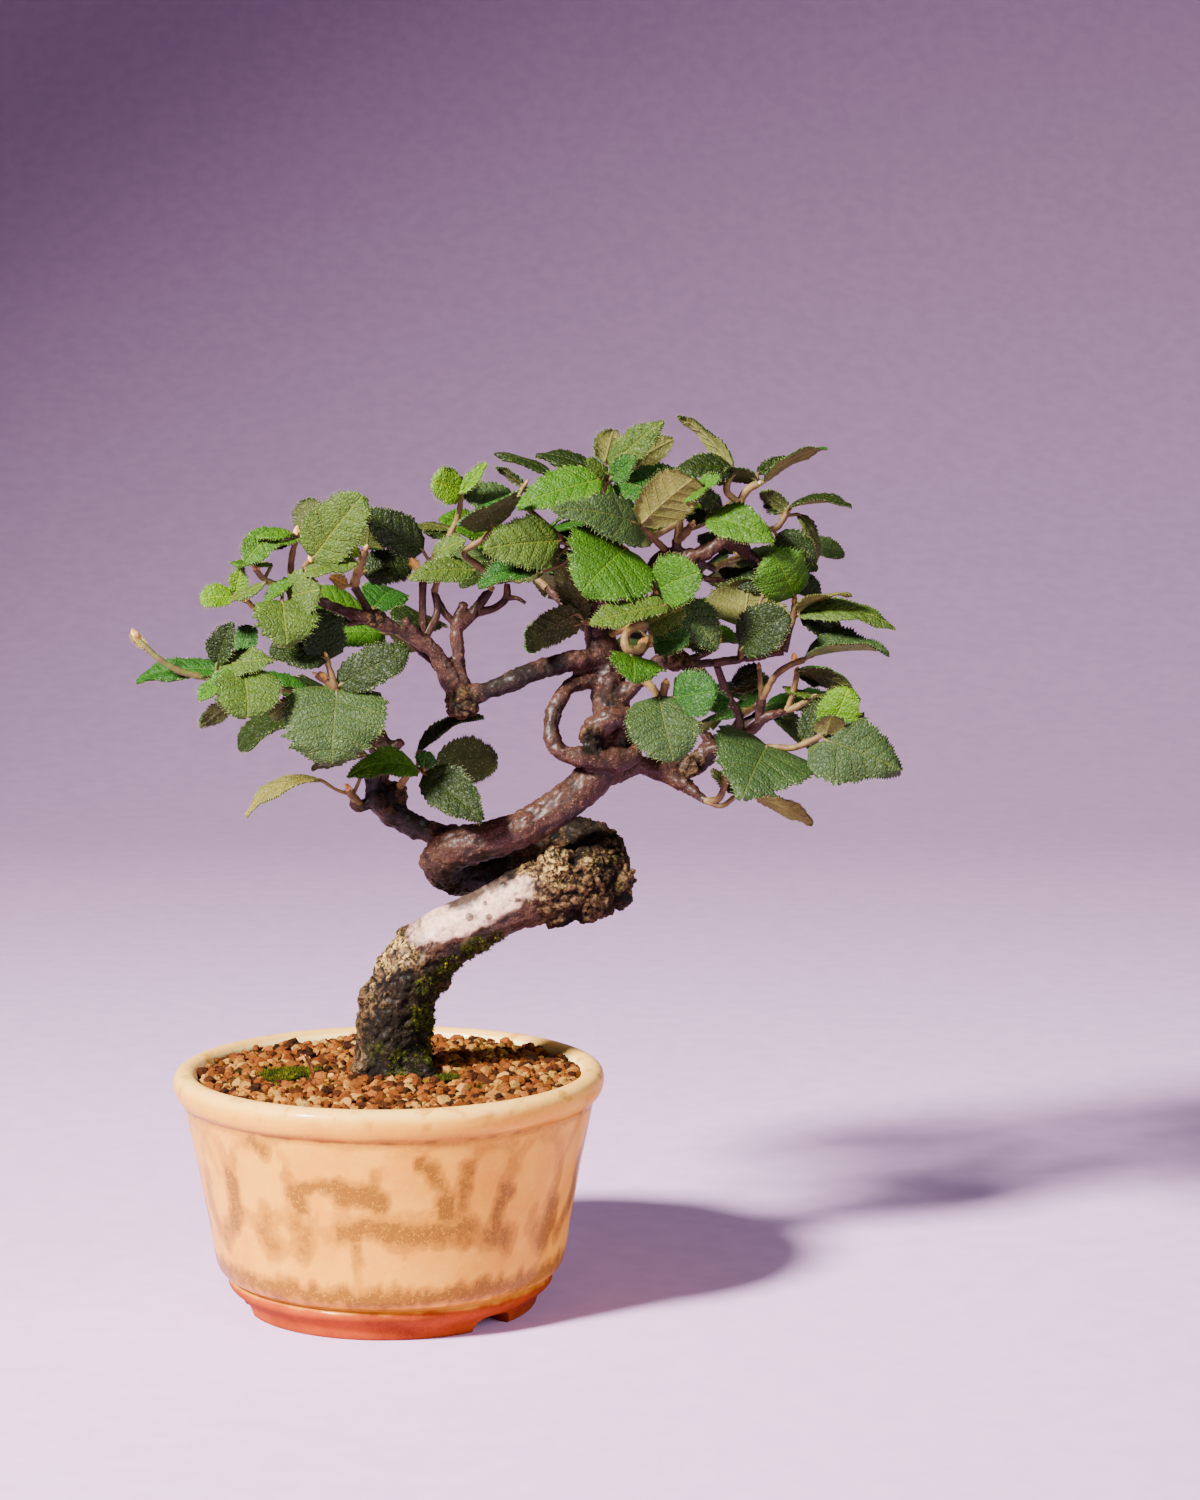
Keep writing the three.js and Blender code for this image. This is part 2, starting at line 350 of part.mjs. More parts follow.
// The leafy stems that the front view shows. Stems are points [x, z, y] with a radius.
// Leaves are [base x, z, y, tip x, z, y, width, face, fold, arch].
const SPRAYS = {
  far_left: {
    stems: [[1, [-4.6, 160.5, 4], [-10, 166.5, -2], [-18, 170.8, -9], [-30, 173, -15], [-46, 175.5, -20],
      [-56, 177.5, -23], [-63, 181.5, -25], [-68.6, 186.9, -25]]],
    leaves: [
      [-46, 178, -19, -69, 175.8, -16, 10, 55, 10, 0.05],
      [-47, 179.5, -21, -42.5, 191.3, -24, 8.5, 25, 20, 0],
      [-45.5, 179.5, -22, -31.5, 181, -25, 9.5, 40, 10, 0.05],
      [-40, 178.5, -24, -38.5, 165.3, -33, 17, 8, 10, 0.08],
      [-41, 177.3, -25, -52, 170, -28, 6.5, 40, 25, 0],
      [-40, 183, -14, -37.5, 190.5, -12, 7, 20, 0, 0],
      [-43, 169, -14, -51.6, 162.3, -10, 6, 150, 5, 0],
      [-66, 184.5, -25, -70.3, 188.3, -26, 3, 30, 15, 0],
      [-27, 169.3, -13, -32.2, 165.3, -10, 4.5, 20, 0, 0],
    ],
  },
  upper_left: {
    stems: [
      [0.9, [-23.5, 200.4, -15], [-28.5, 201.3, -17], [-33.5, 203.2, -19], [-35.8, 206, -20]],
      [0.8, [-23.6, 200.5, -15], [-27.5, 196.6, -12], [-34.5, 194.2, -13], [-38.5, 197.6, -16]],
      [0.9, [-23.5, 200.4, -15], [-22.5, 206, -19], [-20.6, 209, -22]],
      [0.9, [-26, 200.7, -16], [-26, 208, -15.5], [-24.4, 215.4, -17]],
    ],
    leaves: [
      [-42, 198.5, -18, -51, 197.7, -20, 8, 35, 15, 0.05],
      [-41.5, 199, -17, -39.5, 207, -17, 5.5, 15, 15, 0],
      [-33.5, 202.2, -21, -43, 197.3, -23, 5, 55, 5, 0],
      [-30.5, 216.3, -19, -38.5, 208, -24, 8.5, 20, 15, 0.05],
      [-31.5, 207.6, -16, -42, 207.7, -22, 9, 82, 10, 0],
      [-25.5, 215.8, -19, -35.3, 215, -22, 7, 62, 10, 0.05],
      [-25, 214.7, -14, -31.3, 213.3, -12, 6, 60, 0, 0],
      [-23, 214.4, -20, -29.8, 212.6, -24, 5, 80, 0, 0],
      [-20.5, 216.5, -13, -21.5, 225, -8, 9, 160, 0, 0.05],
      [-20, 209, -23, -6.5, 226, -30, 15, 10, 12, 0.05],
      [-22, 205.5, -22, -8, 207.3, -27, 8.5, 50, 12, 0.06],
      [-26.8, 198.2, -21, -18.3, 200.3, -26, 13, 15, 10, 0.05],
      [-28.5, 197, -24, -27.5, 185.3, -31, 17, 10, 10, 0.1],
      [-25.5, 203, -20, -33.3, 197.2, -23, 5.5, 50, 25, 0],
    ],
  },
  left_front: {
    stems: [
      [1, [-2.4, 163.5, 2], [-8, 168, -10], [-13.7, 172.6, -20], [-15.3, 177, -21], [-16.7, 181.7, -21]],
      [1, [-14.3, 173.6, -20], [-19.3, 176.8, -21]],
    ],
    leaves: [
      [-13.8, 172.3, -22, -15.3, 152.5, -31, 29.5, 5, 8, 0.08],
      [-13, 174, -21, 5.5, 184, -24, 11.5, 20, 10, 0.05],
      [-16.6, 181.5, -21, -18.5, 195, -17, 12.5, 10, 8, 0.05],
      [-17, 181.5, -22, -32, 184.5, -20, 11, 40, 10, 0.05],
    ],
  },
  lower_left: {
    stems: [[1.3, [-7.5, 140.6, 5], [-9.7, 143.2, 3], [-11, 145.2, 1]]],
    leaves: [
      [-18.8, 147.8, -3, -39.5, 138, -12, 9.5, 62, 15, 0.15],
      [-6, 155, 0, -21, 151, -4, 9, 110, 5, 0.05],
    ],
  },
  low_middle: {
    stems: [[1, [3.5, 146, 6], [6, 149.3, 0], [9.6, 150.7, -6]]],
    leaves: [
      [8.5, 150.5, -8, -11, 148.5, -16, 11, 45, 12, 0.2],
      [10, 149.5, -8, 26, 136.7, -19, 13, 12, 12, 0.05],
      [13.5, 151, -2, 30, 153.3, 4, 13.5, 165, 8, 0.08],
      [8.3, 155.5, -3, 26.2, 165.7, -8, 8, 62, 15, 0.1],
      [10, 151, -9, 11, 155.5, -10, 5.5, 10, 10, 0],
    ],
  },
  left_middle: {
    stems: [[1.3, [-8.8, 201.5, -11], [-7.5, 206, -13], [-5.7, 211, -14]]],
    leaves: [
      [-5.5, 211.5, -12, -4.5, 218.5, -6, 10, 165, 5, 0.05],
      [-7.3, 209.8, -15, -11.7, 213.8, -18, 3.5, 30, 10, 0],
      [-5.5, 205.5, -9, 7, 207.5, -5, 10.5, 20, 5, 0.08],
      [-10.5, 201.5, -13, -15.2, 204, -16, 4, 20, 10, 0],
    ],
  },
  top_left: {
    stems: [
      [0.9, [10.1, 202.6, -11], [11, 207, -12], [13.3, 209.2, -12.5]],
      [0.9, [13.3, 200, -8], [14.6, 205, -10], [14.6, 209.5, -12], [17, 214, -12], [20, 221, -13],
        [20.8, 226.5, -14]],
    ],
    leaves: [
      [10.3, 211, -14, -6.3, 222.5, -20, 12, 18, 12, 0.06],
      [9.3, 205.5, -13, 6.8, 209.3, -15, 2.4, 0, 20, 0],
      [24.5, 205.7, -18, 6.3, 203.8, -24, 8.5, 40, 12, 0.05],
      [20.5, 208.7, -15, 10.3, 206.8, -19, 5.5, 70, 10, 0],
      [13, 210.5, -14, 21.8, 214, -19, 6, 35, 5, 0],
      [20.5, 215, -10, 10.5, 216.5, -7, 7, 68, 0, 0.03],
      [17.5, 217, -8, 9, 218.4, -4, 7, 70, 0, 0.03],
      [21, 227, -14, 13, 230, -18, 10.5, 15, 20, 0.03],
      [20.6, 227, -15, 27.6, 235.2, -16, 4.8, 35, 20, 0],
    ],
  },
  top_middle: {
    stems: [
      [1, [56.2, 198, 3], [56.5, 207, -3], [49, 214, -10]],
      [1, [56.2, 198, 3], [55, 210, 0], [58, 222, -2], [60.8, 231, -5]],
      [0.8, [50.5, 212.6, -8.8], [42, 220, -10], [36.5, 225.5, -10], [38.5, 229.5, -9]],
    ],
    leaves: [
      [35, 225.2, -8, 21.5, 226.5, -11, 9, 38, 5, 0.05],
      [45.5, 232.3, -5, 30, 238, -2, 7.5, 68, 0, 0.05],
      [38, 229, -8, 30.6, 234.3, -8, 5, 120, 10, 0],
      [57, 233.3, -2, 41.5, 237.7, 2, 10, 60, 5, 0.06],
      [60, 235, 0, 62.3, 243.8, 6, 8, 165, 5, 0.04],
      [59.5, 230.8, -8, 36, 223.5, -14, 14, 35, 8, 0.08],
      [48, 213.7, -14, 27, 211.7, -24, 15, 15, 10, 0.06],
      [44.5, 208.2, -14, 25.3, 201.5, -20, 10, 35, 25, 0.05],
      [43, 205.3, -8, 35, 203, -6, 5, 60, 0, 0],
      [57.5, 214.5, -8, 46, 215.3, -6, 7, 50, 0, 0],
      [61.5, 233, -8, 76, 246.3, -14, 9.5, 22, 12, 0.06],
      [61.8, 231, -10, 68.3, 236.8, -16, 7, 30, 15, 0],
      [61, 232, -8, 55.3, 236, -10, 5, 45, 5, 0],
      [66.5, 234.5, -2, 78.8, 241.5, 2, 10, 160, 5, 0.05],
    ],
  },
  fork_top: {
    stems: [[0.9, [29, 200.4, -5], [26.5, 206, -8], [21.5, 210.3, -10], [24, 212.6, -11], [27.6, 215, -12],
      [29.2, 218, -12]]],
    leaves: [[29.2, 218, -13, 26.5, 223.8, -25, 16.5, 180, 8, 0.05]],
  },
  top_right: {
    stems: [
      [1, [77, 211, 0], [73, 215, -6], [70.2, 218.3, -10]],
      [1.2, [80, 213.5, -3], [80.5, 219, -5], [80, 225, -7], [81.3, 230.5, -8]],
      [1.3, [80.1, 214, -3.5], [84, 218, -7]],
      [0.9, [73.5, 215, -5.5], [77, 216.8, -5.5], [80.4, 219, -5]],
    ],
    leaves: [
      [68.5, 218.7, -14, 46, 222.5, -22, 14, 25, 12, 0.1],
      [70.3, 218.7, -12, 85, 231.2, -20, 15, 160, 15, 0.05],
      [81.3, 225.5, -13, 91.2, 231.4, -21, 5.5, 45, 15, 0],
      [80.8, 231.5, -8, 66, 230.5, -12, 9, 42, 8, 0.05],
      [70, 216, -8, 58, 215.3, -8, 5.5, 30, 15, 0],
      [90, 220, -3, 82, 221, 2, 6, 30, 0, 0],
      [86, 227, -4, 92.6, 222.7, 0, 6, 20, 0, 0],
    ],
  },
  upper_right: {
    stems: [
      [1.2, [96, 216, -4], [97, 221, -5], [97.5, 225, -6], [99.5, 228, -7], [103, 229.8, -7]],
      [1, [97.2, 224, -6], [93.5, 227.5, -8], [95, 232.6, -7]],
      [1, [96.5, 216.4, -4], [103, 216.5, -5], [107.3, 217.5, -6], [110.3, 221.8, -7]],
    ],
    leaves: [
      [95.3, 233.3, -8, 80, 233.3, -13, 9, 38, 5, 0.08],
      [95.4, 233.8, -5, 80.5, 248.2, -2, 8, 118, 5, 0.05],
      [101.5, 230.8, -7, 90.5, 230.2, -8, 9, 118, 5, 0.15],
      [103.7, 230.2, -8, 120.7, 239.6, -12, 8, 115, 8, 0.08],
      [102, 232.3, -4, 109.5, 237, 0, 4.5, 30, 0, 0],
      [88, 220, -10, 106.5, 213.5, -19, 11, 25, 8, 0.12],
      [110.6, 223.3, -9, 127.5, 224.3, -13, 11, 78, 28, 0.03],
      [110.2, 222.5, -6, 103, 227.4, -6, 7.5, 125, 5, 0.05],
      [108.5, 221.5, -3, 104, 225, 0, 4.5, 30, 0, 0],
      [107.2, 215.5, -6, 117.7, 209, -10, 9, 28, 8, 0.05],
      [113.5, 221, -5, 118.6, 207.7, -3, 6, 55, 5, 0.12],
    ],
  },
  right_upper: {
    stems: [[1, [111.1, 190, -6], [112, 193.5, -6.5], [112.4, 197.6, -8]]],
    leaves: [
      [112.3, 198.5, -9, 106.5, 210.2, -15, 15.5, 8, 8, 0.06],
      [112.8, 195.5, -8, 127.5, 199.8, -15, 11, 98, 12, 0.05],
      [113.5, 193.7, -7, 140, 190, -12, 10, 55, 10, 0.12],
      [114, 193.5, -4, 127, 187, 5, 9, 30, 5, 0.05],
    ],
  },
  right_middle: {
    stems: [[1, [97.5, 181.5, -6.5], [98, 186, -4], [98.2, 190.5, -3]]],
    leaves: [
      [97.7, 184, -10, 110.3, 193.7, -16, 13.5, 15, 15, 0.06],
      [98.3, 190.8, -4, 100, 202.5, 2, 21.5, 172, 5, 0.08],
      [104, 201, -1, 91.5, 206, 6, 7, 30, 0, 0.03],
    ],
  },
  front_middle: {
    stems: [
      [1, [70.5, 203.4, 0], [69.6, 205.5, -5], [67.8, 208.5, -9], [65.7, 211.5, -13]],
      [1, [69.6, 205.5, -5], [72.3, 203, -10], [74.2, 200, -16]],
    ],
    leaves: [
      [65.6, 211.7, -14, 54, 200.3, -27, 25, 5, 8, 0.08],
      [74.3, 200, -16, 86, 205, -25, 14.5, 8, 8, 0.06],
      [73, 198.7, -16, 80.5, 197.6, -20, 5, 25, 5, 0],
    ],
  },
  middle_right: {
    stems: [
      [1, [61.5, 188, 4], [68, 190.2, -6], [72.5, 190.5, -12], [75, 194, -12], [77.5, 196.8, -12],
        [81, 197, -11]],
      [1.3, [72.3, 190.5, -12], [68.5, 190.3, -14], [65.8, 187.5, -16], [66.3, 184, -17], [69, 183.3, -17],
        [70.8, 185.7, -16]],
      [0.8, [72.3, 190.3, -12], [73.6, 186, -13]],
    ],
    leaves: [
      [71.8, 190.5, -13, 82, 195, -17, 9.5, 20, 10, 0.04],
      [73.5, 185.6, -14, 83, 187, -20, 8.5, 20, 8, 0.04],
      [76.8, 196, -22, 56.3, 191, -29, 8.8, 42, 12, 0.05],
      [81.5, 197.5, -12, 91, 183.8, -16, 11.5, 20, 12, 0.05],
      [82, 197.7, -6, 92.3, 186, -2, 5, 30, 0, 0],
      [83, 186.3, -9, 90, 184, -12, 4.5, 25, 0, 0],
      [67.5, 182, -18, 68, 175, -25, 14, 25, 10, 0.08],
    ],
  },
  middle_left: {
    stems: [[1, [57, 191.5, 4], [54, 191.6, -2]]],
    leaves: [
      [52.5, 193.8, -4, 37.9, 184.6, -14, 9.5, 150, 10, 0.12],
      [53, 191, -3, 40, 185.5, -6, 8, 140, 10, 0.08],
      [54.3, 191.8, -2, 47, 209.3, -6, 9, 150, 10, 0.05],
    ],
  },
  right_front: {
    stems: [
      [1.1, [70.4, 175.6, 0], [73.5, 173, -10], [76, 169, -16]],
      [1.2, [75.8, 169.4, -15.5], [76.8, 174.5, -15]],
    ],
    leaves: [
      [75, 170.8, -17, 79, 153.3, -28, 18.5, 8, 8, 0.08],
      [79, 170.5, -17, 90.7, 172.5, -24, 13, 12, 10, 0.06],
      [88.5, 171.5, -12, 93.7, 167, -16, 6, 15, 8, 0],
    ],
  },
  low_right: {
    stems: [
      [1, [88, 141.8, -3], [91.5, 142.3, -5], [93.2, 146, -6], [94.2, 151, -7], [98, 155, -9], [105, 156.8, -12],
        [112, 156.6, -14], [117.3, 158.6, -15], [121, 160.7, -16]],
      [0.8, [88.3, 141.6, -3.5], [92.5, 140.4, -5], [97.2, 143.5, -6], [101, 143.4, -6]],
    ],
    leaves: [
      [105, 157, -14, 98.3, 142.8, -31, 30, 3, 8, 0.08],
      [102, 143, -6, 117.9, 135.7, -9, 8, 125, 8, 0.05],
      [96.5, 144.3, -3, 89.7, 150.7, 0, 4.5, 30, 0, 0],
      [121, 158.8, -17, 142, 150.3, -22, 22, 10, 10, 0.05],
      [121.3, 160.8, -18, 122.5, 165.8, -21, 8.5, 160, 10, 0],
      [122.5, 161.5, -15, 127.3, 173, -17, 11, 8, 8, 0.05],
      [115, 158.5, -11, 119, 170.3, -6, 6.5, 25, 5, 0],
    ],
  },
  right_lower: {
    stems: [
      [1, [103.3, 169.6, -2], [105, 173, -3], [107.5, 177, -5], [111.5, 179.7, -7], [115, 181, -8]],
      [0.9, [103.4, 170.6, -2], [103, 175, -3], [102.7, 178.4, -2]],
    ],
    leaves: [
      [115, 181.5, -10, 138.3, 183.3, -14, 18, 78, 38, 0.05],
      [102.6, 178.4, -1, 95, 174.8, 3, 5.5, 30, 0, 0],
      [102.3, 173.8, 1, 95.3, 173, 6, 4, 40, 0, 0],
    ],
  },
  right_end: {
    stems: [
      [0.9, [110.4, 167, -3], [112, 171.5, -4], [113.2, 177.5, -6]],
      [0.9, [110.4, 167, -3], [113, 168, -4], [117.3, 170.6, -5]],
    ],
    leaves: [
      [113.6, 178.4, -7, 130.7, 170, -9, 11, 118, 10, 0.1],
      [113, 177.3, -4, 121.3, 174.3, 0, 5.5, 55, 0, 0],
      [117.5, 170.8, -5, 109.3, 173.7, -2, 6, 70, 0, 0],
      [117.5, 171, -6, 127, 171.8, -9, 7, 85, 0, 0],
    ],
  },
};

// The twigs that fill the crown behind, as [seed, points [x, z, y]], which bear opposite pairs of leaves.
const BACK_TWIGS = {
  back_middle: [11, [69.8, 182.7, 20.6], [72, 185.5, 28], [73, 188, 36]],
  back_left: [23, [44.3, 200.7, 20.6], [39, 206, 28], [35, 210, 37]],
  back_top: [37, [63.8, 210.5, 18.6], [64, 218, 26], [62, 223, 35]],
  back_right: [41, [89.7, 206.1, 16.5], [95, 208.5, 25], [101, 210, 33]],
  back_far_left: [53, [7.3, 185.7, 11.6], [1, 190, 20], [-5, 193, 29]],
  back_low_right: [67, [97.8, 165.7, 18.6], [102, 168, 26], [106, 168, 35]],
  back_low_left: [71, [-11.7, 167.6, 19.6], [-17, 169, 27], [-23, 169, 35]],
};
const BACK_PAIRS = 3;
const BACK_LEAF_LENGTH = 20;

// Opposite pairs along a twig, each pair turned a quarter from the last, the blades level and drooping a little.
function pairsOf(seed, curve) {
  const random = randomFrom(seed);
  const up = new THREE.Vector3(0, 0, 1);
  const rows = [];
  for (let pair = 0; pair < BACK_PAIRS; pair++) {
    const u = 0.3 + (0.7 * pair) / (BACK_PAIRS - 1);
    const at = curve.getPointAt(u);
    const tangent = curve.getTangentAt(u);
    const across = tangent.clone().cross(up).normalize();
    const above = across.clone().cross(tangent);
    const turn = THREE.MathUtils.degToRad(20 + 90 * pair + 30 * random());
    for (const side of [-1, 1]) {
      const out = across.clone().multiplyScalar(side * Math.cos(turn));
      out.addScaledVector(above, 0.5 * side * Math.sin(turn)).addScaledVector(tangent, 0.55).normalize();
      const base = at.clone().addScaledVector(out, 4.5);
      const length = BACK_LEAF_LENGTH * (0.85 + 0.3 * random());
      const sag = up.clone().multiplyScalar(-0.15 - 0.2 * random());
      const tip = base.clone().addScaledVector(out.clone().add(sag).normalize(), length);
      const along = tip.clone().sub(base).normalize();
      const normal = up.clone().addScaledVector(tangent, -0.4);
      normal.addScaledVector(along, -normal.dot(along)).normalize();
      rows.push([base, tip, normal, length * (0.7 + 0.15 * random()), 10, 0.08]);
    }
  }
  return rows;
}

// A leafy stem as one solid: stems, petioles and blades, less the wood that it grows from.
function spray(stems, leaves, fatWood) {
  const parts = stems.map(([radius, points]) => {
    const start = points[0].clone().sub(points[1]).setLength(radius).add(points[0]);
    return rod([start, ...points.slice(1)], points.map(() => radius), 4);
  });
  for (const [base, tip, normal, width, fold, arch] of leaves) {
    parts.push(leaf(rootOf(stems, base), base, tip, normal, width, fold, arch));
  }
  return largestBody(union(parts).subtract(fatWood));
}

// The pot: a turned body with a rolled lip and a groove above a foot ring cut into feet, and a drain hole.
function pot() {
  const outline = [
    [FOOT_INNER_RADIUS, 0], [FOOT_RADIUS, 0], [42, 4.4], [45.3, 7.2], [44.7, 9.4], [48.2, 12], [50.7, 25],
    [53.5, 40], [56.6, 55], [57.1, 59.8], [59.3, 61.6], [RIM_RADIUS, 64.4], [58.9, 66.5], [56.2, RIM_TOP],
    [53.8, 65.6], [51.6, 50], [47.4, 25], [44.2, 14.4], [40, FLOOR_TOP], [DRAIN_RADIUS, FLOOR_TOP],
    [DRAIN_RADIUS, FLOOR_UNDERSIDE], [FOOT_INNER_RADIUS - 1, FLOOR_UNDERSIDE], [FOOT_INNER_RADIUS, 0],
  ];
  const gap = new THREE.Shape();
  gap.moveTo(-FOOT_GAP_WIDTH / 2, -1);
  gap.lineTo(FOOT_GAP_WIDTH / 2, -1);
  gap.lineTo(FOOT_GAP_WIDTH / 2 - 1, FOOT_GAP_HEIGHT - 1.4);
  gap.lineTo(FOOT_GAP_WIDTH / 2 - 3, FOOT_GAP_HEIGHT);
  gap.lineTo(3 - FOOT_GAP_WIDTH / 2, FOOT_GAP_HEIGHT);
  gap.lineTo(1 - FOOT_GAP_WIDTH / 2, FOOT_GAP_HEIGHT - 1.4);
  let body = turned(outline, POT_SIDES);
  for (let i = 0; i < FOOT_COUNT; i++) {
    const cutter = new THREE.ExtrudeGeometry(gap, { depth: 25, bevelEnabled: false, steps: 1 });
    cutter.rotateX(Math.PI / 2).translate(0, -25, 0).rotateZ(Math.PI / 2);
    cutter.rotateZ(THREE.MathUtils.degToRad(FOOT_GAP_TURN + (i * 360) / FOOT_COUNT));
    body = body.subtract(solid(cutter));
  }
  return body;
}

// The height of the granular soil's surface at a place.
function soilHeight(x, y) {
  const dome = SOIL_DOME * (1 - (x * x + y * y) / (52 * 52));
  const grains = Math.sin(1.31 * x + 2.1 * Math.sin(0.9 * y)) * Math.sin(1.27 * y + 1.7 * Math.sin(1.1 * x));
  return SOIL_TOP + dome + GRAIN_HEIGHT * grains;
}

// The soil, fitted to the pot's inside, with its granular top and plain holes for trunk, pin and moss.
function soil(holes) {
  const inner = 52.7;
  const outline = [
    [0, FLOOR_TOP + CLEARANCE + MESH_THICKNESS + CLEARANCE], [MESH_RADIUS + CLEARANCE, 12.3],
    [MESH_RADIUS + CLEARANCE, FLOOR_TOP + CLEARANCE], [39.7, FLOOR_TOP + CLEARANCE], [43.7, 14.8], [47, 25],
    [51.2, 50], [inner, SOIL_TOP],
  ];
  for (let ring = SOIL_RINGS - 1; ring >= 0; ring--) outline.push([(inner * ring) / SOIL_RINGS, SOIL_TOP]);
  const points = outline.map(([radius, height]) => new THREE.Vector2(radius, height));
  const geometry = new THREE.LatheGeometry(points, SOIL_SIDES).rotateX(Math.PI / 2);
  const position = geometry.attributes.position;
  for (let i = 0; i < position.count; i++) {
    if (position.getZ(i) < SOIL_TOP - 0.01) continue;
    const x = position.getX(i);
    const y = position.getY(i);
    const atWall = Math.hypot(x, y) > inner - 1;
    position.setZ(i, atWall ? SOIL_TOP - 0.5 : soilHeight(x, y));
  }
  return holes.reduce((body, hole) => body.subtract(hole), solid(geometry));
}

// The plastic mesh over the drain hole.
function drainMesh() {
  const plate = new THREE.CylinderGeometry(MESH_RADIUS, MESH_RADIUS, MESH_THICKNESS, 18).rotateX(Math.PI / 2);
  const opening = MESH_PITCH - MESH_BAR;
  const holes = [];
  for (const column of [-1, 0, 1]) {
    for (const row of [-1, 0, 1]) {
      const hole = new THREE.BoxGeometry(opening, opening, 3 * MESH_THICKNESS);
      holes.push(solid(hole.translate(column * MESH_PITCH, row * MESH_PITCH, 0)));
    }
  }
  return solid(plate).subtract(union(holes)).translate([0, 0, FLOOR_TOP + CLEARANCE + MESH_THICKNESS / 2]);
}

// A cushion of moss in a shallow hollow of the soil, oval in plan.
function mossCushion({ x, y, long, wide, turn }, grow = 0) {
  const outline = [[0, -1.4 - grow], [0.8 + grow / wide, -1.2 - grow], [1 + grow / wide, 0], [0.85, 1.3 + grow],
    [0.5, 1.9 + grow], [0, 2.1 + grow]];
  const points = outline.map(([radius, height]) => new THREE.Vector2(radius, height));
  const cushion = new THREE.LatheGeometry(points, 18).rotateX(Math.PI / 2);
  const position = cushion.attributes.position;
  for (let i = 0; i < position.count; i++) {
    const angle = Math.atan2(position.getY(i), position.getX(i));
    const lobe = 1 + 0.12 * Math.sin(3 * angle + x) + 0.06 * Math.sin(7 * angle);
    position.setXY(i, position.getX(i) * long * lobe, position.getY(i) * wide * lobe);
  }
  cushion.rotateZ(THREE.MathUtils.degToRad(turn)).translate(x, y, SOIL_TOP + SOIL_DOME - 0.3);
  return solid(cushion);
}
const MOSS_LEFT = { x: -28, y: -6, long: 10.5, wide: 7, turn: 60 };
const MOSS_RIGHT = { x: 16.5, y: -12, long: 5.5, wide: 4, turn: 35 };

// The wire pin whose shiny end stands out of the soil.
function wirePin(radius) {
  const points = [[-19.8, -9.5, 55], [-20.1, -9.5, 64], [-21.2, -9.5, 69], [-22.6, -9.3, 72.2]];
  return rod(points.map(([x, y, z]) => new THREE.Vector3(x, y, z)), points.map(() => radius), 6);
}

const LEAF_GREEN = 0x5c7f36;
const BACK_GREEN = 0x4d6e30;

const tree = new THREE.Group();
const bare = wood();
const fatWood = wood(CLEARANCE);
tree.add(mesh("pot", pot(), 0xdfc3a4, 0.25));
tree.add(mesh("wood", bare, 0x6f5646, 0.85));
tree.add(mesh("drain_mesh", drainMesh(), 0x2c2c2a, 0.6));
tree.add(mesh("wire_pin", wirePin(0.6), 0x8a5a3a, 0.3));
tree.add(mesh("moss_left", mossCushion(MOSS_LEFT), 0x6f8f22, 0.95));
tree.add(mesh("moss_right", mossCushion(MOSS_RIGHT).subtract(fatWood), 0x6f8f22, 0.95));
const holes = [fatWood, wirePin(1.1), mossCushion(MOSS_LEFT, CLEARANCE), mossCushion(MOSS_RIGHT, CLEARANCE)];
tree.add(mesh("soil", soil(holes), 0xa8713f, 0.95));

for (const [name, { stems, leaves }] of Object.entries(SPRAYS)) {
  const rods = stems.map(([radius, ...points]) => [radius, points.map((row) => fromFront(...row))]);
  const blades = leaves.map(([bx, bz, by, tx, tz, ty, width, face, fold, arch]) => {
    const base = fromFront(bx, bz, by);
    const tip = fromFront(tx, tz, ty);
    return [base, tip, leafNormal(base, tip, face), width, fold, arch];
  });
  tree.add(mesh(`leaves_${name}`, spray(rods, blades, fatWood), LEAF_GREEN, 0.6));
}
for (const [name, [seed, ...rows]] of Object.entries(BACK_TWIGS)) {
  const points = rows.map((row) => fromFront(...row));
  const curve = new THREE.CatmullRomCurve3(points, false, "centripetal");
  tree.add(mesh(`leaves_${name}`, spray([[1, points]], pairsOf(seed, curve), fatWood), BACK_GREEN, 0.6));
}

// The whole tree is moved so that the origin lies under the middle of its box.
const middle = new THREE.Box3().setFromObject(tree).getCenter(new THREE.Vector3());
tree.position.set(-middle.x, -middle.y, 0);

export default tree;
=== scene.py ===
"""A viburnum bonsai in its glazed pot, dressed in fine detail over the solids of its frame.

Everything is in metres except the rows of places, which are in millimetres and read in the front view.
"""

import math
import random
from contextlib import contextmanager

import bpy
import numpy as np
from mathutils import Euler, Matrix, Vector, noise


